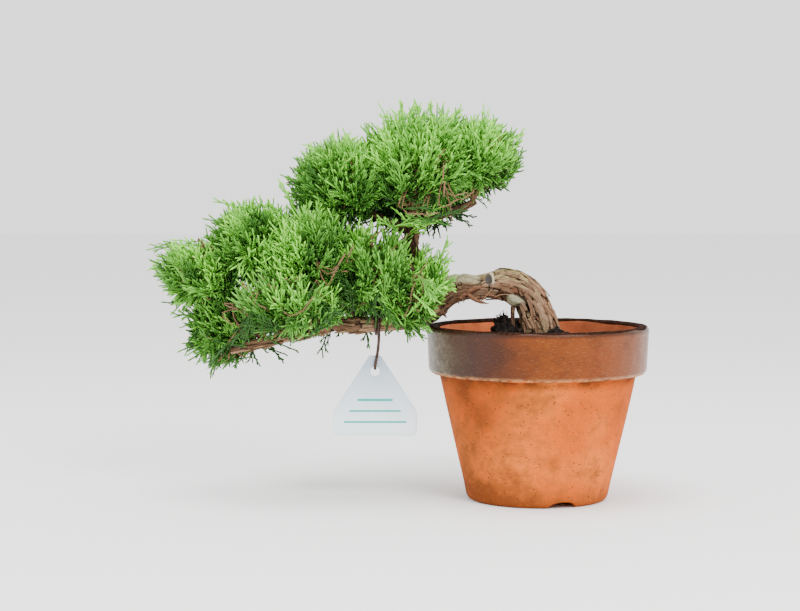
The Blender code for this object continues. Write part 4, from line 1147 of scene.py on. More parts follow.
tips, leans, starts, longs, mass_of, level_of, tone_of = grow_sprays()
feet, knees = curve_of(tips, leans, starts, longs)
at_tip = gauges(tips)
own = np.take_along_axis(at_tip, mass_of[:, None], axis=1)[:, 0]
keep = (at_tip.min(axis=1) > own - INTO_OTHERS) & inside_edge(tips) & inside_edge(tips * 0.5 + knees * 0.5)
keep &= ~stays_open(tips, np.random.default_rng(SEED + 5))
for place in (tips, knees, feet):
    keep &= (gauges(place).min(axis=1) < PAST_SKIN) & off_pot(place)
keep &= (off_bark(tips) > TIP_CLEAR) & (off_bark(knees) > KNEE_CLEAR)
grown = [a[keep] for a in (tips, leans, starts, longs, mass_of, level_of, tone_of)]
print("sprays:", keep.sum(), "of", len(keep))

# %% [markdown]
# Some shoots are landmarks: the long leaders that break the outline, the sprays that hang under
# the lower bough, and the thin dark shoots on the undersides. Each is a row of numbers: where its
# tip is seen, the way it points, its length, how far to the front it stands, and its tone.

# %% Leading, hanging and thin shoots
LEADERS = (
    # x, z of the tip and length in mm, way in x and z, front 1 to back -1, tone
    (-209, 137, 24, -1, 0.12, 0.1, 0.6), (-210, 127, 22, -1, -0.12, 0.3, 0.9),
    (-201, 139, 16, -0.5, 0.8, -0.2, -0.4), (-194, 141, 24, -0.93, 0.35, 0.2, 1.8),
    (-188, 137, 14, -0.6, 0.8, -0.3, -0.8), (-205, 121, 18, -1, 0, 0, -0.6),
    (-201, 106, 18, -0.95, -0.3, 0.1, -1.2), (-197, 100, 17, -1, -0.05, 0.3, -0.2),
    (-174, 162, 22, -0.95, 0.3, 0.2, 0.8), (-178, 152, 20, -0.92, 0.3, 0.1, 0.4),
    (-180, 145, 15, -0.5, 0.85, -0.2, -0.8), (-166, 161, 15, -0.4, 0.9, 0, 0.5),
    (-154, 164, 15, 0.1, 1, 0, 0.9), (-146, 161, 16, -0.6, 0.8, 0.2, 0.4),
    (-139, 171, 20, -0.45, 0.9, 0.3, 1.4), (-137, 175, 15, -0.9, 0.35, 0, 0.5),
    (-131, 179, 17, -0.7, 0.7, -0.2, -1), (-128, 183, 15, -0.4, 0.9, 0.1, -0.6),
    (-125, 193, 18, -0.7, 0.7, 0.2, 1.1), (-112, 196, 17, -0.2, 1, 0, 0.9),
    (-104, 199, 17, 0.05, 1, 0.2, 1.2), (-96, 195, 14, 0.2, 1, -0.2, 0.1),
    (-93, 203, 18, -0.4, 0.9, 0, 0.3), (-84, DRAWN_ROWS, 20, -0.3, 1, 0.1, 0.6), (-74, 214, 20, 0, 1, 0, 0.9),
    (-65, 214, 20, -0.1, 1, 0.1, 1), (-58, 215, 19, 0.05, 1, 0.2, 1.2), (-52, 213, 18, 0.1, 1, -0.1, 0.8),
    (-42, 212, 20, 0.5, 0.85, 0, -0.2), (-40, 207, 17, 0.7, 0.7, 0.2, -0.6),
    (-31, 204, 20, 0.85, 0.5, 0, -0.3), (-29, 210, 22, 0.05, 1, 0.2, 1), (-24, 206, 19, 0.15, 1, 0.1, 0.5),
    (-21, 199, 18, 0.3, 0.95, -0.2, -0.4), (-8, 199, 22, 0.85, 0.5, 0.1, 0.8),
    (-13, 200, 20, 0.5, 0.85, 0, 0.2), (-10, 196, 18, 0.4, 0.9, 0.3, 1.3),
    (-8, 189, 17, 0.6, 0.8, 0, -0.3), (-10, 182, 16, 0.5, 0.85, 0.2, 0.6),
    (-48, 140, 18, 0.5, 0.85, 0.2, 0.4), (-46, 130, 18, 0.95, 0.3, 0.1, 0),
    (-45, 119, 16, 0.9, 0.35, 0.3, 1.3), (-46, 114, 14, 0.95, -0.2, 0.4, 1.5),
    (-187, 77, 19, -0.85, -0.5, 0, -0.9), (-184, 83, 16, -1, 0, 0.2, -0.5),
    (-178, 69, 18, -0.45, -0.9, 0.1, -0.2), (-189, 89, 17, -1, 0.1, 0.3, -0.4),
    (-193, 94, 18, -0.95, -0.15, 0, -0.6), (-118, 80, 19, -0.35, -0.93, 0.1, -0.9),
    (-92, 83, 15, 0.1, -1, 0.4, 1.2), (-105, 91, 12, 0.1, -1, 0.3, 0.6),
    (-50, 118, 17, 0.8, 0.6, 0.9, 1.6), (-51, 112, 17, 0.85, -0.4, 0.95, 1.3),
    (-55, 107, 16, 0.6, -0.8, 0.95, 1), (-57, 119, 17, 0.3, 0.9, 1, 1.2),
    (-56, 101, 15, 0.7, -0.6, 0.9, 0.8), (-60, 111, 16, 0.5, 0.5, 1, 1.4),
    (-62, 87, 19, 0.75, -0.65, 0.5, -0.2), (-58, 92, 17, 0.9, -0.4, 0.5, 0.3),
    (-70, 88, 15, 0.4, -0.9, 0.4, -0.9),
)
THIN = (
    (-168, 72, 15, -0.2, -1, 0.2, -1.5), (-163, 73, 13, 0.2, -1, 0, -1.6),
    (-158, 74, 12, -0.55, -0.8, 0.1, -1.5), (-151, 72, 16, 0.5, -0.85, 0.1, -1.8),
    (-155, 74, 10, 0.2, -1, -0.2, -1.6), (-147, 79, 12, 0.6, -0.8, 0.2, -1.5),
    (-138, 74, 16, 0.65, -0.75, 0, -1.8), (-136, 78, 14, 0.9, -0.35, 0.2, -1.7),
    (-130, 80, 18, 0.92, -0.4, 0.1, -1.7), (-127, 86, 13, -0.4, -0.9, 0.3, -1.2),
    (-134, 84, 12, 0.3, -0.95, 0.3, -0.6), (-173, 71, 13, 0.1, -1, 0.2, -1.3),
    (-8, 178, 16, 1, 0.05, 0, -1.8), (-25, 162, 17, 0.9, -0.4, 0.2, -1.6),
    (-28, 159, 14, 0.8, -0.6, 0.1, -1.6), (-33, 153, 17, 0.95, -0.2, 0.2, -1.8),
    (-36, 148, 17, 0.8, -0.6, 0.3, -1.9), (-46, 151, 12, 0.7, -0.6, 0.3, -1.6),
    (-49, 146, 14, 0.5, -0.85, 0.4, -1.5), (-53, 143, 13, 0.3, -0.95, 0.3, -1.2),
    (-57, 142, 12, -0.2, -1, 0.3, -1.5), (-90, 147, 17, -0.8, -0.5, 0.4, -1.2),
    (-84, 146, 15, -0.7, -0.7, 0.3, -1.4), (-96, 152, 18, -0.9, -0.3, 0.4, -0.9),
    (-76, 147, 14, -0.5, -0.8, 0.5, -1.3), (-101, 157, 18, -0.9, -0.1, 0.2, -1),
    (-70, 91, 14, 0.5, -0.85, 0.2, -1.5), (-83, 89, 12, -0.2, -1, 0.3, -1.4),
    (-109, 88, 12, -0.4, -0.9, 0.2, -1.2), (-203, 118, 15, -1, -0.05, -0.2, -1.5),
)
# Dead shoots: x, z where the line starts and ends, how many, all on the front of the pads
DEAD = (
    (-51, 170, -50, 190, 3), (-44, 163, -36, 167, 3), (-109, 124, -101, 138, 4), (-67, 115, -59, 128, 3),
    (-162, 102, -152, 95, 3), (-156, 111, -147, 105, 2), (-126, 102, -121, 109, 2),
    (-61, 154, -54, 157, 2), (-166, 95, -161, 89, 2),
)
# Shaded undersides: a line of tips in x and z, the way the shoots point, how many
UNDERSIDES = (
    (-99, 158, -74, 149, -0.9, -0.25, 34), (-94, 164, -70, 155, -0.85, 0.05, 26),
    (-74, 150, -56, 150, 0.1, -0.8, 12), (-58, 152, -38, 158, 0.85, -0.25, 16),
    (-56, 158, -34, 166, 0.85, 0.2, 14), (-190, 84, -176, 74, -0.8, -0.5, 12),
    (-172, 84, -150, 92, -0.3, -0.6, 8), (-112, 98, -92, 97, 0.1, -0.7, 14),
    (-88, 97, -62, 95, 0.5, -0.5, 22), (-138, 92, -116, 97, -0.4, -0.6, 12),
)

# %% Shoots from the rows
def underside_rows():
    """Rows spread along each line of UNDERSIDES, at depths from the front to behind the middle."""
    draw = np.random.default_rng(SEED + 62)
    rows = []
    for x0, z0, x1, z1, way_x, way_z, count in UNDERSIDES:
        for t in np.linspace(0.0, 1.0, count):
            place = (x0 + (x1 - x0) * t + draw.normal(0, 1.8), z0 + (z1 - z0) * t + draw.normal(0, 2.2))
            way = (way_x + draw.normal(0, 0.28), way_z + draw.normal(0, 0.28))
            long, share = draw.uniform(15, 23), draw.uniform(-0.5, 0.85)
            rows.append((*place, long, *way, share, draw.normal(-1.1, 0.6)))
    return rows


def front_of(x, z, share):
    """The y of the nearest mass's skin over (x, z): middle - share * half depth * sqrt(1 - gauge^2)."""
    away = np.hypot(*(((x, z) - CENTRES[:, (0, 2)]) / HALVES[:, (0, 2)]).T)
    reach = HALVES[:, 1] * np.sqrt(np.clip(1 - away**2, 0.02, 1))
    nearest = np.argmin(away) if share < 0.8 else np.argmin(CENTRES[:, 1] - reach)
    return CENTRES[nearest, 1] - share * reach[nearest]


def from_rows(rows, seed, turn=0.18):
    """Sprays of the same form as the grown ones, one to a row."""
    draw = np.random.default_rng(seed)
    found = []
    for x, z, long, way_x, way_z, share, tone in rows:
        lean = unit(np.array((way_x, draw.uniform(-0.22, 0.12), way_z)))
        long, tip = long * 0.001, np.array((x, 0.0, z)) * 0.001
        tip[1] = front_of(*(tip - lean * long)[[0, 2]], share) + lean[1] * long
        tip = EYE + (tip - EYE) * ((tip[1] - EYE[1]) / -EYE[1]) * (1, 0, 1) + (0, tip[1] - EYE[1], 0)
        start = unit(lean + draw.normal(0, turn, 3))
        mass = gauges(tip - lean * long).argmin()
        found.append((tip, lean, start, long, mass, 1.0, tone))
    return [np.array(part) for part in zip(*found)]


def dead_rows():
    """Rows along each line of DEAD, each shoot turned a little off the line."""
    draw = np.random.default_rng(SEED + 61)
    rows = []
    for x0, z0, x1, z1, count in DEAD:
        for t in np.linspace(0.15, 1.0, count):
            way = unit(np.array((x1 - x0, z1 - z0))) + draw.normal(0, 0.22, 2)
            place = (x0 + (x1 - x0) * t + draw.normal(0, 0.7), z0 + (z1 - z0) * t + draw.normal(0, 0.7))
            rows.append((*place, draw.uniform(7, 10), *way, 0.84, 0.0))
    return rows


leading = from_rows((*LEADERS, *underside_rows()), SEED + 51)
thin, dead = from_rows(THIN, SEED + 52), from_rows(dead_rows(), SEED + 53)
joined = [np.concatenate(parts) for parts in zip(grown, leading, thin, dead)]
tips, leans, starts, longs, mass_of, level_of, tone_of = joined
mass_of = mass_of.astype(int)
kind_of = np.repeat((0, 1, 2, 3), [len(a[0]) for a in (grown, leading, thin, dead)])
feet, knees = curve_of(tips, leans, starts, longs)
draw = np.random.default_rng(SEED + 6)
normals = unit(np.cross(leans, unit(draw.normal(size=tips.shape))))
print("leading, thin and dead shoots:", [len(a[0]) for a in (leading, thin, dead)])

# %% [markdown]
# A spray is one main cord with side cords, alternately left and right, most of which fork once.
# All cords of all sprays are worked out at once: each is a tube of three sides on a small curve,
# thickest near its end and closed to a blunt point.

# %% Cords and sprays
CORD_THICK = 0.0011
SIDE_CORDS, FORKS = 7, 5
# Rings of the tubes: the place along the cord, and the share of its thickness there
MAIN_RINGS = ((0, 0.8), (0.35, 0.95), (0.7, 1.0), (0.93, 0.85))
SIDE_RINGS, FORK_RINGS = ((0, 0.7), (0.8, 1.0)), ((0, 0.7), (0.78, 1.0))
SKEW = (0.31, 0.87, 0.38)  # a way that hardly any cord runs along, to set the sides square to it


def cords(start, knee, end, thick, rings, normal, sides=3):
    """Tubes on p(t) = start (1-t)^2 + 2 knee t (1-t) + end t^2: a ring at each (t, share), then a point."""
    t = np.array([ring[0] for ring in rings])[None, :, None]
    share = np.array([ring[1] for ring in rings])[None, :, None, None]
    centre = bezier(start[:, None], knee[:, None], end[:, None], t)
    ahead = unit((knee - start)[:, None] * (1 - t) + (end - knee)[:, None] * t)
    side = unit(normal[:, None] - ahead * (ahead * normal[:, None]).sum(-1, keepdims=True))
    other = np.cross(ahead, side)
    angle = (2 * math.pi * np.arange(sides) / sides)[:, None]
    radius = thick[:, None, None, None] / 2 * share
    rim = centre[:, :, None] + radius * (side[:, :, None] * np.cos(angle) + other[:, :, None] * np.sin(angle))
    points = np.concatenate([rim.reshape(len(start), -1, 3), end[:, None]], axis=1)
    count = len(rings)
    last = (count - 1) * sides
    c = np.arange(sides)
    tip = np.stack([last + c, last + (c + 1) % sides, 0 * c + count * sides], axis=1)
    return points, [grid_faces(count, sides), tip, np.arange(sides)[None, ::-1]]


def bundle(parts):
    """Joins lists of equal tubes into one set of points and faces."""
    all_points, all_faces, start = [], [], 0
    for points, faces in parts:
        count, size = points.shape[:2]
        step = start + (np.arange(count) * size)[:, None, None]
        all_faces += [(f[None] + step).reshape(-1, f.shape[1]) for f in faces]
        all_points.append(points.reshape(-1, 3))
        start += count * size
    return np.vstack(all_points), all_faces

# %% Sprays of cords
def spray_cords(feet, knees, tips, longs, normals, seed, thick, fuller):
    """Main cord, side cords and their forks as spray x cord x point arrays, with the faces of one cord."""
    draw = np.random.default_rng(seed)
    count = len(tips)
    girth = thick * draw.uniform(0.88, 1.14, count)
    main, main_faces = cords(feet, knees, tips, girth, MAIN_RINGS, normals)
    k = (np.arange(SIDE_CORDS) + 1.2)[None, :]
    t = np.clip(k / (SIDE_CORDS + 1.0) + draw.uniform(-0.04, 0.04, (count, SIDE_CORDS)), 0.1, 0.94)[..., None]
    root = bezier(feet[:, None], knees[:, None], tips[:, None], t)
    ahead = unit((knees - feet)[:, None] * (1 - t) + (tips - knees)[:, None] * t)
    across = unit(np.cross(ahead, normals[:, None]))
    flip = np.where(np.arange(SIDE_CORDS) % 2 == 0, 1.0, -1.0)[None, :, None]
    swing = draw.normal(0, 0.55, (count, SIDE_CORDS, 1))
    sideways = unit(across * flip + normals[:, None] * swing)
    open_angle = np.radians(draw.uniform(16, 34, (count, SIDE_CORDS, 1)))
    way = unit(ahead * np.cos(open_angle) + sideways * np.sin(open_angle))
    reach = longs[:, None, None] * (0.27 + 0.16 * (1 - t)) * draw.uniform(0.62, 1.25, t.shape)
    reach = np.maximum(reach * fuller[:, None, None], 0.001)
    bend = root + way * reach * 0.55
    end = root + way * reach * 0.92 + ahead * reach * 0.12
    shape = [main[:, None]]
    flat = np.repeat(normals, SIDE_CORDS, axis=0)
    thin = np.repeat(girth, SIDE_CORDS) * 0.94
    side, side_faces = cords(*(a.reshape(-1, 3) for a in (root, bend, end)), thin, SIDE_RINGS, flat)
    shape.append(side.reshape(count, SIDE_CORDS, -1, 3))
    fork_root = (root + 2 * bend + end)[:, :FORKS] / 4
    fork_way = unit(way[:, :FORKS] + 0.48 * sideways[:, :FORKS] * draw.choice((-1.0, 1.0), (count, FORKS, 1)))
    fork_end = fork_root + fork_way * reach[:, :FORKS] * draw.uniform(0.42, 0.68, (count, FORKS, 1))
    fork_knee = (fork_root + fork_end) / 2
    flat = np.repeat(normals, FORKS, axis=0)
    thin = np.repeat(girth, FORKS) * 0.88
    curve = (a.reshape(-1, 3) for a in (fork_root, fork_knee, fork_end))
    fork, fork_faces = cords(*curve, thin, FORK_RINGS, flat)
    shape.append(fork.reshape(count, FORKS, -1, 3))
    return shape, [main_faces, side_faces, fork_faces]


# %% Rootlets and shreds
# Dead rootlets bristle from the clods, and shreds of bark hang under the arm and from the foot.
# They are made by the same function as the leaf cords.
ROOTLETS, SHRED_SIDES = 260, 10
SHREDS = (
    # start, knee and end in mm, the thickness, and the tone from 0 dark to 1 pale
    ((-39.5, -5.9, 111.8), (-35.5, -6.4, 116.6), (-26.8, -6.0, 115.4), 3.2, 0.55),
    ((-39.0, -6.0, 112.6), (-34.0, -6.6, 107.0), (-26.4, -7.2, 106.6), 2.3, 0.6),
    ((-31.0, -7.4, 108.0), (-27.5, -8.6, 111.5), (-24.0, -8.2, 116.4), 0.7, 0.95),
    ((-24.2, -7.4, 109.8), (-20.3, -9.2, 112.6), (-14.5, -9.8, 111.4), 0.7, 0.95),
    ((-44.0, -5.5, 109.6), (-43.4, -6.5, 107.5), (-42.6, -6.5, 105.8), 0.9, 0.2),
    ((-52.5, -6.5, 108.5), (-50.0, -8.5, 105.0), (-47.5, -8.0, 104.2), 1.0, 0.4),
    ((-52.6, -4.5, 102.8), (-50.6, -5.2, 100.4), (-49.4, -5.0, 98.4), 1.4, 0.15),
    ((-1.5, -8.8, 100.0), (1.5, -9.6, 96.0), (2.0, -8.8, 91.5), 1.1, 0.5),
    ((2.5, -8.2, 106.0), (5.6, -7.4, 101.0), (7.6, -6.0, 94.0), 1.3, 0.6),
)
draw = np.random.default_rng(SEED + 14)
clod = draw.integers(0, 4, ROOTLETS)
way = unit(draw.normal(size=(ROOTLETS, 3)) + (0.0, -0.5, 0.45))
start = np.array(CLODS)[clod, :3] + way * np.array(CLODS)[clod, 3:] * 0.75
end = start + way * draw.uniform(0.001, 0.0032, (ROOTLETS, 1)) + draw.normal(0, 0.0007, (ROOTLETS, 3))
knee = (start + end) / 2 + draw.normal(0, 0.0006, (ROOTLETS, 3))
rings = ((0, 1.0), (0.5, 0.85), (0.9, 0.5))
square = unit(np.cross(way, SKEW))
rootlets = cords(start, knee, end, draw.uniform(0.0003, 0.0008, ROOTLETS), rings, square)
piece("rootlets", bundle([rootlets]), peat, nodes=["soil"])
start, knee, end, thick = (0.001 * np.array([row[k] for row in SHREDS]) for k in range(4))
rings = ((0, 0.5), (0.12, 0.95), (0.3, 1.1), (0.5, 0.95), (0.7, 0.75), (0.86, 0.35), (0.96, 0.15))
square = unit(np.cross(end - start, SKEW))
points, faces = bundle([cords(start, knee, end, thick, rings, square, SHRED_SIDES)])
tone = np.repeat([row[4] for row in SHREDS], len(points) // len(SHREDS))
grain = 0.5 + 0.35 * np.sin(2.1 * np.arange(len(points)))
shreds = (points, faces, {"plate": tone, "fibre": grain})
piece("hanging_shreds", shreds, shed_bark, nodes=["trunk_arm"])

# %% [markdown]
# Each spray gets one plain colour, so that the colour survives in the exported model, and its main
# cord and lowest side cords take the next darker one, because growth greens from the tip.
# New tips that face the light are yellow green, older growth is deeper and bluer, and the tints
# also carry painted light and shade: sprays high in a pad, facing up and on its skin get the lighter
# ones, and sprays deep inside, low and under the pads the darker ones. A few dead sprays are the
# brown of straw. The bump is two thirds of a millimetre wide, like a scale.

# %% Foliage colours
TINTS = (
    ("fresh_lit", "#90DE4A"), ("bright", "#76C03E"), ("leaf", "#62A236"),
    ("green", "#4C8628"), ("deep", "#386A1E"), ("shade", "#265012"),
)
TINT_SHARES = (0.13, 0.34, 0.58, 0.79, 0.93)
OLDER_CORDS = 3
# The height that parts the upper pad from the lower, and the x at which each is cut in two pieces
PADS_PART_AT, UPPER_HALVES_AT, LOWER_HALVES_AT = 0.15, -0.062, -0.125


def scale_leaf(name, colour, roughness=0.52):
    """Waxy scale leaves: one plain base colour, with a bump at the size of the scales."""
    made, tree, shader = start_material(name, Roughness=roughness, Specular_IOR_Level=0.3)
    shader.inputs["Base Color"].default_value = linear(colour)
    coords = add(tree, "TexCoord").outputs["Object"]
    scales = add(tree, "TexVoronoi", {"Vector": coords, "Scale": 1500.0})
    bump = add(tree, "Bump", {"Height": scales, "Strength": 0.55, "Distance": 0.0003})
    tree.links.new(bump.outputs[0], shader.inputs["Normal"])
    wax = add(tree, "TexNoise", {"Vector": coords, "Scale": 300.0, "Detail": 2.0})
    dull = add(tree, "MapRange", (wax, 0.0, 1.0, roughness - 0.1, roughness + 0.14))
    tree.links.new(dull.outputs[0], shader.inputs["Roughness"])
    return made


leaf_finish = [scale_leaf("juniper_scales_" + name, colour) for name, colour in TINTS]
dry_finish = scale_leaf("juniper_scales_dry", "#7A6044", 0.8)

# %% Leaf pieces
draw = np.random.default_rng(SEED + 7)
up_facing = ((tips - CENTRES[mass_of]) / HALVES[mass_of])[:, 2] / np.maximum(level_of, 0.3)
upper = CENTRES[mass_of][:, 2] > PADS_PART_AT
height_in_pad = np.where(upper, (tips[:, 2] - 0.15) / 0.06, (tips[:, 2] - 0.085) / 0.075)
# The right of the lower pad counts as higher up, so it is painted lighter
height_in_pad = np.where(~upper & (tips[:, 0] > -0.095), 0.65 + 0.5 * height_in_pad, height_in_pad)
# Painted light and shade: sprays high in a pad, facing up and on its skin rank lighter, and sprays deep
# inside and low rank darker
light = 0.34 * height_in_pad + 0.16 * up_facing + 0.42 * level_of + 0.15 * tone_of
light += draw.normal(0, 0.13, len(tips))
# Painted light at the far left, low down
light += 0.14 * smooth_step(-tips[:, 0], 0.15, 0.18) * smooth_step(-tips[:, 2], -0.118, -0.095)
ranks = np.argsort(np.argsort(-light)) / len(light)
dry = (kind_of == 3) | ((draw.uniform(0, 1, len(tips)) < 0.035) & (level_of < 0.8))
tint_of = np.where(dry, len(TINTS), np.searchsorted(TINT_SHARES, ranks))
print("sprays by tint:", np.bincount(tint_of))

girths = np.choose(kind_of, (1.0, 1.0, 0.82, 0.66)) * CORD_THICK
fullness = np.choose(kind_of, (1.0, 1.0, 0.55, 0.5))
shapes, cord_faces = spray_cords(feet, knees, tips, longs, normals, SEED + 8, girths, fullness)
darker = np.where(dry, tint_of, np.minimum(tint_of + 1, len(TINTS) - 1))
cord_tints = [darker[:, None]]
for count in (SIDE_CORDS, FORKS):
    cord_tints.append(np.where(np.arange(count) < OLDER_CORDS, darker[:, None], tint_of[:, None]))
right = tips[:, 0] > np.where(upper, UPPER_HALVES_AT, LOWER_HALVES_AT)
ZONES = (
    ("top_right", upper & right), ("top_left", upper & ~right),
    ("low_right", ~upper & right), ("low_left", ~upper & ~right),
)


def sprays_piece(name, within, tint, finish, nodes):
    """One piece of all cords of one tint in one zone."""
    parts = [
        (points[within[:, None] & (tints == tint)], faces)
        for points, tints, faces in zip(shapes, cord_tints, cord_faces)
    ]
    piece(name, bundle(parts), finish, nodes=nodes)


for zone, within in ZONES:
    nodes = [NAMES[number] for number in np.unique(mass_of[within])]
    for number, (tint, _) in enumerate(TINTS):
        sprays_piece(f"sprays_{zone}_{tint}", within, number, leaf_finish[number], nodes)
sprays_piece("sprays_dry", dry, len(TINTS), dry_finish, NAMES)

# %% [markdown]
# Between bough and spray there are twigs. Each mass gets fifteen branchlets that fan out from its
# bough's tip, and every spray hangs on the nearest branchlet by a thin curved twig, so nothing
# floats, and brown wood shows where the foliage opens.

# %% Branchlets and twigs
BRANCHLETS, BRANCHLET_REACH = 15, 0.62
BRANCHLET_THICK, BRANCHLET_SIDES, TWIG_THICK = 0.0021, 8, 0.00105


def branchlets():
    """Curved tubes from inside each bough's tip to about half way out into its mass."""
    starts, knees, ends, owner = [], [], [], []
    for number, name in enumerate(NAMES):
        bough = limbs[SPACES[name][0]]
        tip, before = bough[-1, :3], bough[-2, :3]
        ways = golden_ways(BRANCHLETS, SEED + 300 + number)
        end = CENTRES[number] + ways * HALVES[number] * BRANCHLET_REACH
        low = ways[:, 2] < -0.55
        end[low] = CENTRES[number] + ways[low] * HALVES[number] * 0.45
        heart = tip + (CENTRES[number] - tip) * 0.45
        starts.append(np.repeat((tip - unit(tip - before) * 0.002)[None], BRANCHLETS, axis=0))
        knees.append(heart + (end - CENTRES[number]) * 0.18)
        ends.append(end)
        owner.append(np.full(BRANCHLETS, number))
    return np.vstack(starts), np.vstack(knees), np.vstack(ends), np.concatenate(owner)

# %% Twig bark
browns = ((0.3, "#4A3324"), (0.5, "#6F5238"), (0.7, "#8C6F4C"))
twig_bark = plain_matter(
    "thin_twig_bark", 700.0, 3.0, 0.5, browns, 0.6, 0.0003, Roughness=0.85, Specular_IOR_Level=0.3
)[0]

b_start, b_knee, b_end, b_owner = branchlets()
square = unit(np.cross(b_end - b_start, SKEW))
rings = tuple((t, 1.0 - 0.55 * t) for t in np.linspace(0, 0.96, 11))
thick = np.full(len(b_start), BRANCHLET_THICK)
wood = cords(b_start, b_knee, b_end, thick, rings, square, BRANCHLET_SIDES)
piece("branchlets", bundle([wood]), twig_bark, nodes=NAMES)

t = np.linspace(0.12, 1, 14)[None, :, None]
along = bezier(b_start[:, None], b_knee[:, None], b_end[:, None], t)
boughs_too = bark_points[bark_points[:, 2] > POT_HEIGHT - 0.015][:, :3]
roots = np.empty_like(feet)
for number in range(len(NAMES)):
    mine = along[b_owner == number].reshape(-1, 3)
    for chosen, wood in (
        (np.flatnonzero((mass_of == number) & (kind_of != 2)), mine),
        (np.flatnonzero((mass_of == number) & (kind_of == 2)), np.vstack([mine, boughs_too])),
    ):
        roots[chosen] = wood[np.linalg.norm(feet[chosen, None] - wood[None], axis=2).argmin(axis=1)]
bend = feet - starts * np.minimum(0.006, np.linalg.norm(feet - roots, axis=1) * 0.5)[:, None]
square = unit(np.cross(feet - roots, SKEW))
rings = ((0, 1.0), (0.33, 0.9), (0.66, 0.8), (0.97, 0.72))
twig_ends, twig_thick = feet + starts * 0.0008, np.full(len(feet), TWIG_THICK)
twig_points, twig_faces = cords(roots, bend, twig_ends, twig_thick, rings, square)
for half, within in (("upper", upper), ("lower", ~upper)):
    nodes = [NAMES[number] for number in np.unique(mass_of[within])]
    piece(f"twigs_{half}", bundle([(twig_points[within], twig_faces)]), twig_bark, nodes=nodes)

# %% [markdown]
# The plant label hangs on a soft brown wire. The wire winds round the lower bough, drops in front
# of it and hooks through the label's hole. It is one tube on the same path as the CAD's.

# %% Wire
WIRE_SIDES = 14
WIRE_RADIUS, WIRE_X, WIRE_TURNS, GAP = 0.0008, -0.086, 1.25, 0.0003
HANG_X, TAG_HOLE_Z, TAG_HOLE_RADIUS, TAG_THICK = -0.0883, 0.07, 0.0026, 0.0008

bough = spline(limbs["bough_cascade"], 12)
at = bough[np.argmin(np.abs(bough[:, 0] - WIRE_X))]
reach = at[3] + GAP + WIRE_RADIUS + 0.0002
hook = WIRE_RADIUS + GAP + TAG_THICK / 2
hang = np.array((HANG_X, at[1] - reach + hook, TAG_HOLE_Z + TAG_HOLE_RADIUS - GAP - WIRE_RADIUS))


def wire_path():
    """Winding (a helix round the bough), drop (a line with a slight bow) and hook (half a circle)."""
    turns = np.linspace(-WIRE_TURNS, 0, 60)[:, None]
    angle = math.pi + 2 * math.pi * turns
    pitch = 2 * WIRE_RADIUS + GAP
    wound = at[:3] + np.hstack([turns * pitch, np.cos(angle) * reach, np.sin(angle) * reach])
    drop_end = hang + (0.0, -hook, hook)
    t = np.linspace(0, 1, 24)[1:-1, None]
    drop = wound[-1] + (drop_end - wound[-1]) * t + np.hstack([0.0008 * np.sin(math.pi * t), 0 * t, 0 * t])
    angle = np.linspace(0, math.pi, 14)[:, None]
    bend = hang + np.hstack([0 * angle, -np.cos(angle) * hook, hook - np.sin(angle) * hook])
    return np.vstack([wound, drop, bend, bend[-1] + (0.0, 0.0, 0.0022)])


def wire_tube(path, radius, sides):
    """A round tube with parallel-carried rings, and a small dome closing each end."""
    fine = spline(np.hstack([path, np.full((len(path), 1), radius)]), 3)[:, :3]
    ahead = unit(np.gradient(fine, axis=0))
    side = np.empty_like(ahead)
    side[0] = unit(np.cross(ahead[0], (0.2, 0.3, 0.9)))
    for k in range(1, len(fine)):
        side[k] = unit(side[k - 1] - ahead[k] * (side[k - 1] @ ahead[k]))
    other = np.cross(ahead, side)
    fine = np.vstack([fine[:1] - ahead[:1] * radius * 0.4, fine, fine[-1:] + ahead[-1:] * radius * 0.4])
    side, other = (np.vstack([a[:1], a, a[-1:]]) for a in (side, other))
    size = np.full(len(fine), radius)
    size[[0, -1]] = radius * 0.6
    angle = np.linspace(0, 2 * math.pi, sides, endpoint=False)[None, :, None]
    around = side[:, None] * np.cos(angle) + other[:, None] * np.sin(angle)
    points = fine[:, None] + size[:, None, None] * around
    return points, tube_faces(len(fine), sides)

# %% Wire finish
oxides = ((0.35, "#2C1C18"), (0.65, "#53382F"))
wire_finish, tree, shader, oxide = plain_matter(
    "annealed_brown_wire", 900.0, 3.0, 0.5, oxides, Metallic=0.55, Roughness=0.42
)
worn = add(tree, "MapRange", (oxide, 0.0, 1.0, 0.3, 0.6))
tree.links.new(worn.outputs[0], shader.inputs["Roughness"])
label_wire = wire_tube(wire_path(), WIRE_RADIUS, WIRE_SIDES)
piece("label_wire", label_wire, wire_finish, nodes=["tag_wire"])

# %% [markdown]
# The label is a die-cut plate of frosted plastic with a punched hole. Its outline is a rounded
# polygon, and the plate is a ring of quads between that outline and the hole, front and back,
# with a tiny rounded edge. It carries no print of any maker, only three plain ruled lines for a name.

# %% Label
TAG_OUTLINE = (
    (-0.003, 0.0786, 0.0008),
    (-0.02275, 0.048, 0.003),
    (-0.02275, 0.035, 0.0034),
    (0.02275, 0.035, 0.0034),
    (0.02275, 0.048, 0.003),
    (0.003, 0.0786, 0.0008),
)
OUTLINE_STEPS, PLATE_RINGS, END_STEPS = 240, 12, 12
TAG_EDGE, INK_THICK, INK_SUNK = 0.00018, 0.00006, 0.0001


def around_outline(corners, count, start_angle):
    """Points evenly spread by angle about the hole, so that outline and hole pair up."""
    line = section(corners, 0.0004)
    centre = np.array((0.0, TAG_HOLE_Z))
    angle = np.unwrap(np.arctan2(*(line - centre).T[::-1]))
    order = np.argsort((angle - start_angle) % (2 * math.pi))
    line, angle = line[order], ((angle - start_angle) % (2 * math.pi))[order]
    gone = lengths(line)
    at = np.linspace(0, gone[-1], count, endpoint=False)
    return np.stack([np.interp(at, gone, line[:, k]) for k in (0, 1)], axis=1)


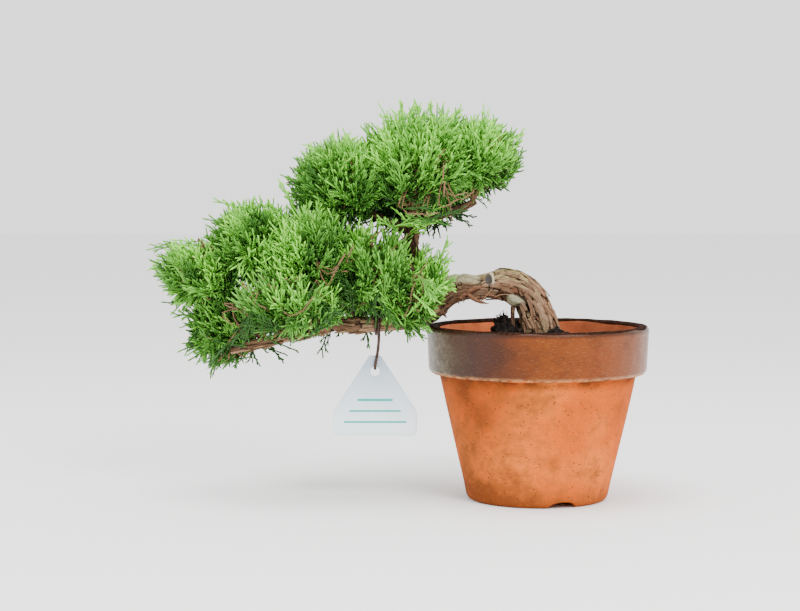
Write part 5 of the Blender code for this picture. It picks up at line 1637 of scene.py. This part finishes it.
outline = around_outline(TAG_OUTLINE, OUTLINE_STEPS, math.pi / 2)
bearing = np.arctan2(outline[:, 1] - TAG_HOLE_Z, outline[:, 0])
hole = np.stack([np.cos(bearing), np.sin(bearing)], axis=1) * TAG_HOLE_RADIUS + (0.0, TAG_HOLE_Z)
inward = unit(np.array((0.0, 0.052)) - outline)
half_thick = TAG_THICK / 2
share = np.linspace(0, 1, PLATE_RINGS)[1:-1]
first_row, last_row = hole + unit(outline - hole) * TAG_EDGE, outline + inward * TAG_EDGE
front_rows = [hole, first_row]
front_rows += [first_row + (last_row - hole) * s * 0.995 for s in share]
front_rows += [last_row, outline]
depths = [half_thick - TAG_EDGE] + [half_thick] * (len(front_rows) - 2) + [half_thick - TAG_EDGE]
rows = [np.stack([r[:, 0], 0 * r[:, 0] - d, r[:, 1]], axis=1) for r, d in zip(front_rows, depths)]
rows += [row * (1, -1, 1) for row in rows[::-1]]
plate = np.stack(rows) + (hang[0], hang[1], 0.0)
plastic, tree, shader = start_material("frosted_label_plastic", Roughness=0.38, IOR=1.49)
coords = add(tree, "TexCoord").outputs["Object"]
height = add(tree, "SeparateXYZ", (coords,)).outputs["Z"]
cloudy = add(tree, "TexNoise", {"Vector": coords, "Scale": 60.0, "Detail": 3.0})
# The plate is darker towards its top and lighter towards its foot, with a cloudy noise over it
across = add(tree, "MapRange", (height, 0.078, 0.036))
blur = add(tree, "MapRange", (cloudy, 0.0, 1.0, -0.2, 0.2))
tone_by_height = add(tree, "Math", (across, blur), operation="ADD")
tone = add(tree, "ValToRGB", (tone_by_height,), stops=((0.1, "#A9B8C6"), (0.6, "#D2DFEA"), (0.9, "#E6F2F6")))
frost = add(tree, "TexNoise", {"Vector": coords, "Scale": 2500.0, "Detail": 2.0})
paint(tree, shader, tone, (), frost, 0.12, 0.0001)
piece(
    "label_plate",
    (plate, [grid_faces(len(rows), OUTLINE_STEPS, wrap_rows=True)]),
    plastic,
    body="tag",
    nodes=["tag"],
)

# %% Ruled lines
RULED = ((0.0545, 0.018, 0.0013), (0.0485, 0.027, 0.001), (0.0425, 0.033, 0.001))
inks = ((0.3, "#009C92"), (0.7, "#04ACA2"))
teal = plain_matter("screen_printed_teal_ink", 900.0, 2.0, 0.5, inks, Roughness=0.5)[0]
bars, bar_faces = [], []
for number, (z, wide, high) in enumerate(RULED):
    angle = np.linspace(-math.pi / 2, math.pi / 2, END_STEPS)
    right_end = np.stack([wide / 2 + np.cos(angle) * high / 2, z + np.sin(angle) * high / 2], axis=1)
    loop_line = np.vstack([right_end, right_end[::-1] * (-1, 1)])
    face_y, back_y = hang[1] - half_thick - INK_THICK, hang[1] - half_thick + INK_SUNK
    for y in (face_y, back_y):
        bars.append(np.stack([loop_line[:, 0] + hang[0], 0 * loop_line[:, 0] + y, loop_line[:, 1]], axis=1))
    first = number * 4 * END_STEPS
    c = np.arange(2 * END_STEPS)
    bar_faces.append(grid_faces(2, 2 * END_STEPS, start=first)[:, ::-1])
    bar_faces.append(first + c[None, :])
    bar_faces.append(first + 2 * END_STEPS + c[None, ::-1])
ruled = (np.vstack(bars), bar_faces)
piece("label_ruled_lines", ruled, teal, body="tag", nodes=["tag"], smooth=False)

# %% [markdown]
# The floor is a plain pale sheet and isn't part of the object. A large soft light in front and to
# the right gives the rim its glints, a high light brings out the top of the foliage, a weak one
# fills the left, and a white world fills the shadows, as a light tent does.

# %% Floor, lights and world
floor = bpy.data.meshes.new("floor")
floor.from_pydata([(-6, -6, 0), (6, -6, 0), (6, 6, 0), (-6, 6, 0)], [], [(0, 1, 2, 3)])
floor_finish, tree, shader = start_material("pale_paper_floor", Roughness=0.9)
shader.inputs["Base Color"].default_value = linear("#F7F7F6")
floor.materials.append(floor_finish)
floor = bpy.data.objects.new("floor", floor)
bpy.context.scene.collection.objects.link(floor)
floor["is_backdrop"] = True

LIGHTS = (
    # name, place, size, power in watts
    ("key_light", (0.55, -0.95, 0.85), 0.55, 15.0),
    ("top_light", (-0.15, -0.2, 1.3), 0.8, 13.0),
    ("left_fill", (-1.0, -0.7, 0.45), 0.8, 4.0),
)
AIM = (0.0, 0.0, 0.1)
for name, place, size, power in LIGHTS:
    lamp = bpy.data.lights.new(name, "AREA")
    lamp.shape, lamp.size, lamp.energy = "DISK", size, power
    light = bpy.data.objects.new(name, lamp)
    light.location = place
    away = np.array(place) - AIM
    light.rotation_euler = (
        math.atan2(math.hypot(away[0], away[1]), away[2]),
        0.0,
        math.atan2(away[0], -away[1]),
    )
    bpy.context.scene.collection.objects.link(light)

world = bpy.data.worlds.new("light_tent")
world.use_nodes = True
world.node_tree.nodes["Background"].inputs["Color"].default_value = (1.0, 1.0, 1.0, 1.0)
world.node_tree.nodes["Background"].inputs["Strength"].default_value = 1.8
bpy.context.scene.world = world
print("lights:", [light[0] for light in LIGHTS])

# %% Sizes and finish
print("triangles in all:", sum(pieces_made.values()))
low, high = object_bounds()
sizes = {"cad": [list(cad_low), list(cad_high)], "visual": [list(low), list(high)]}
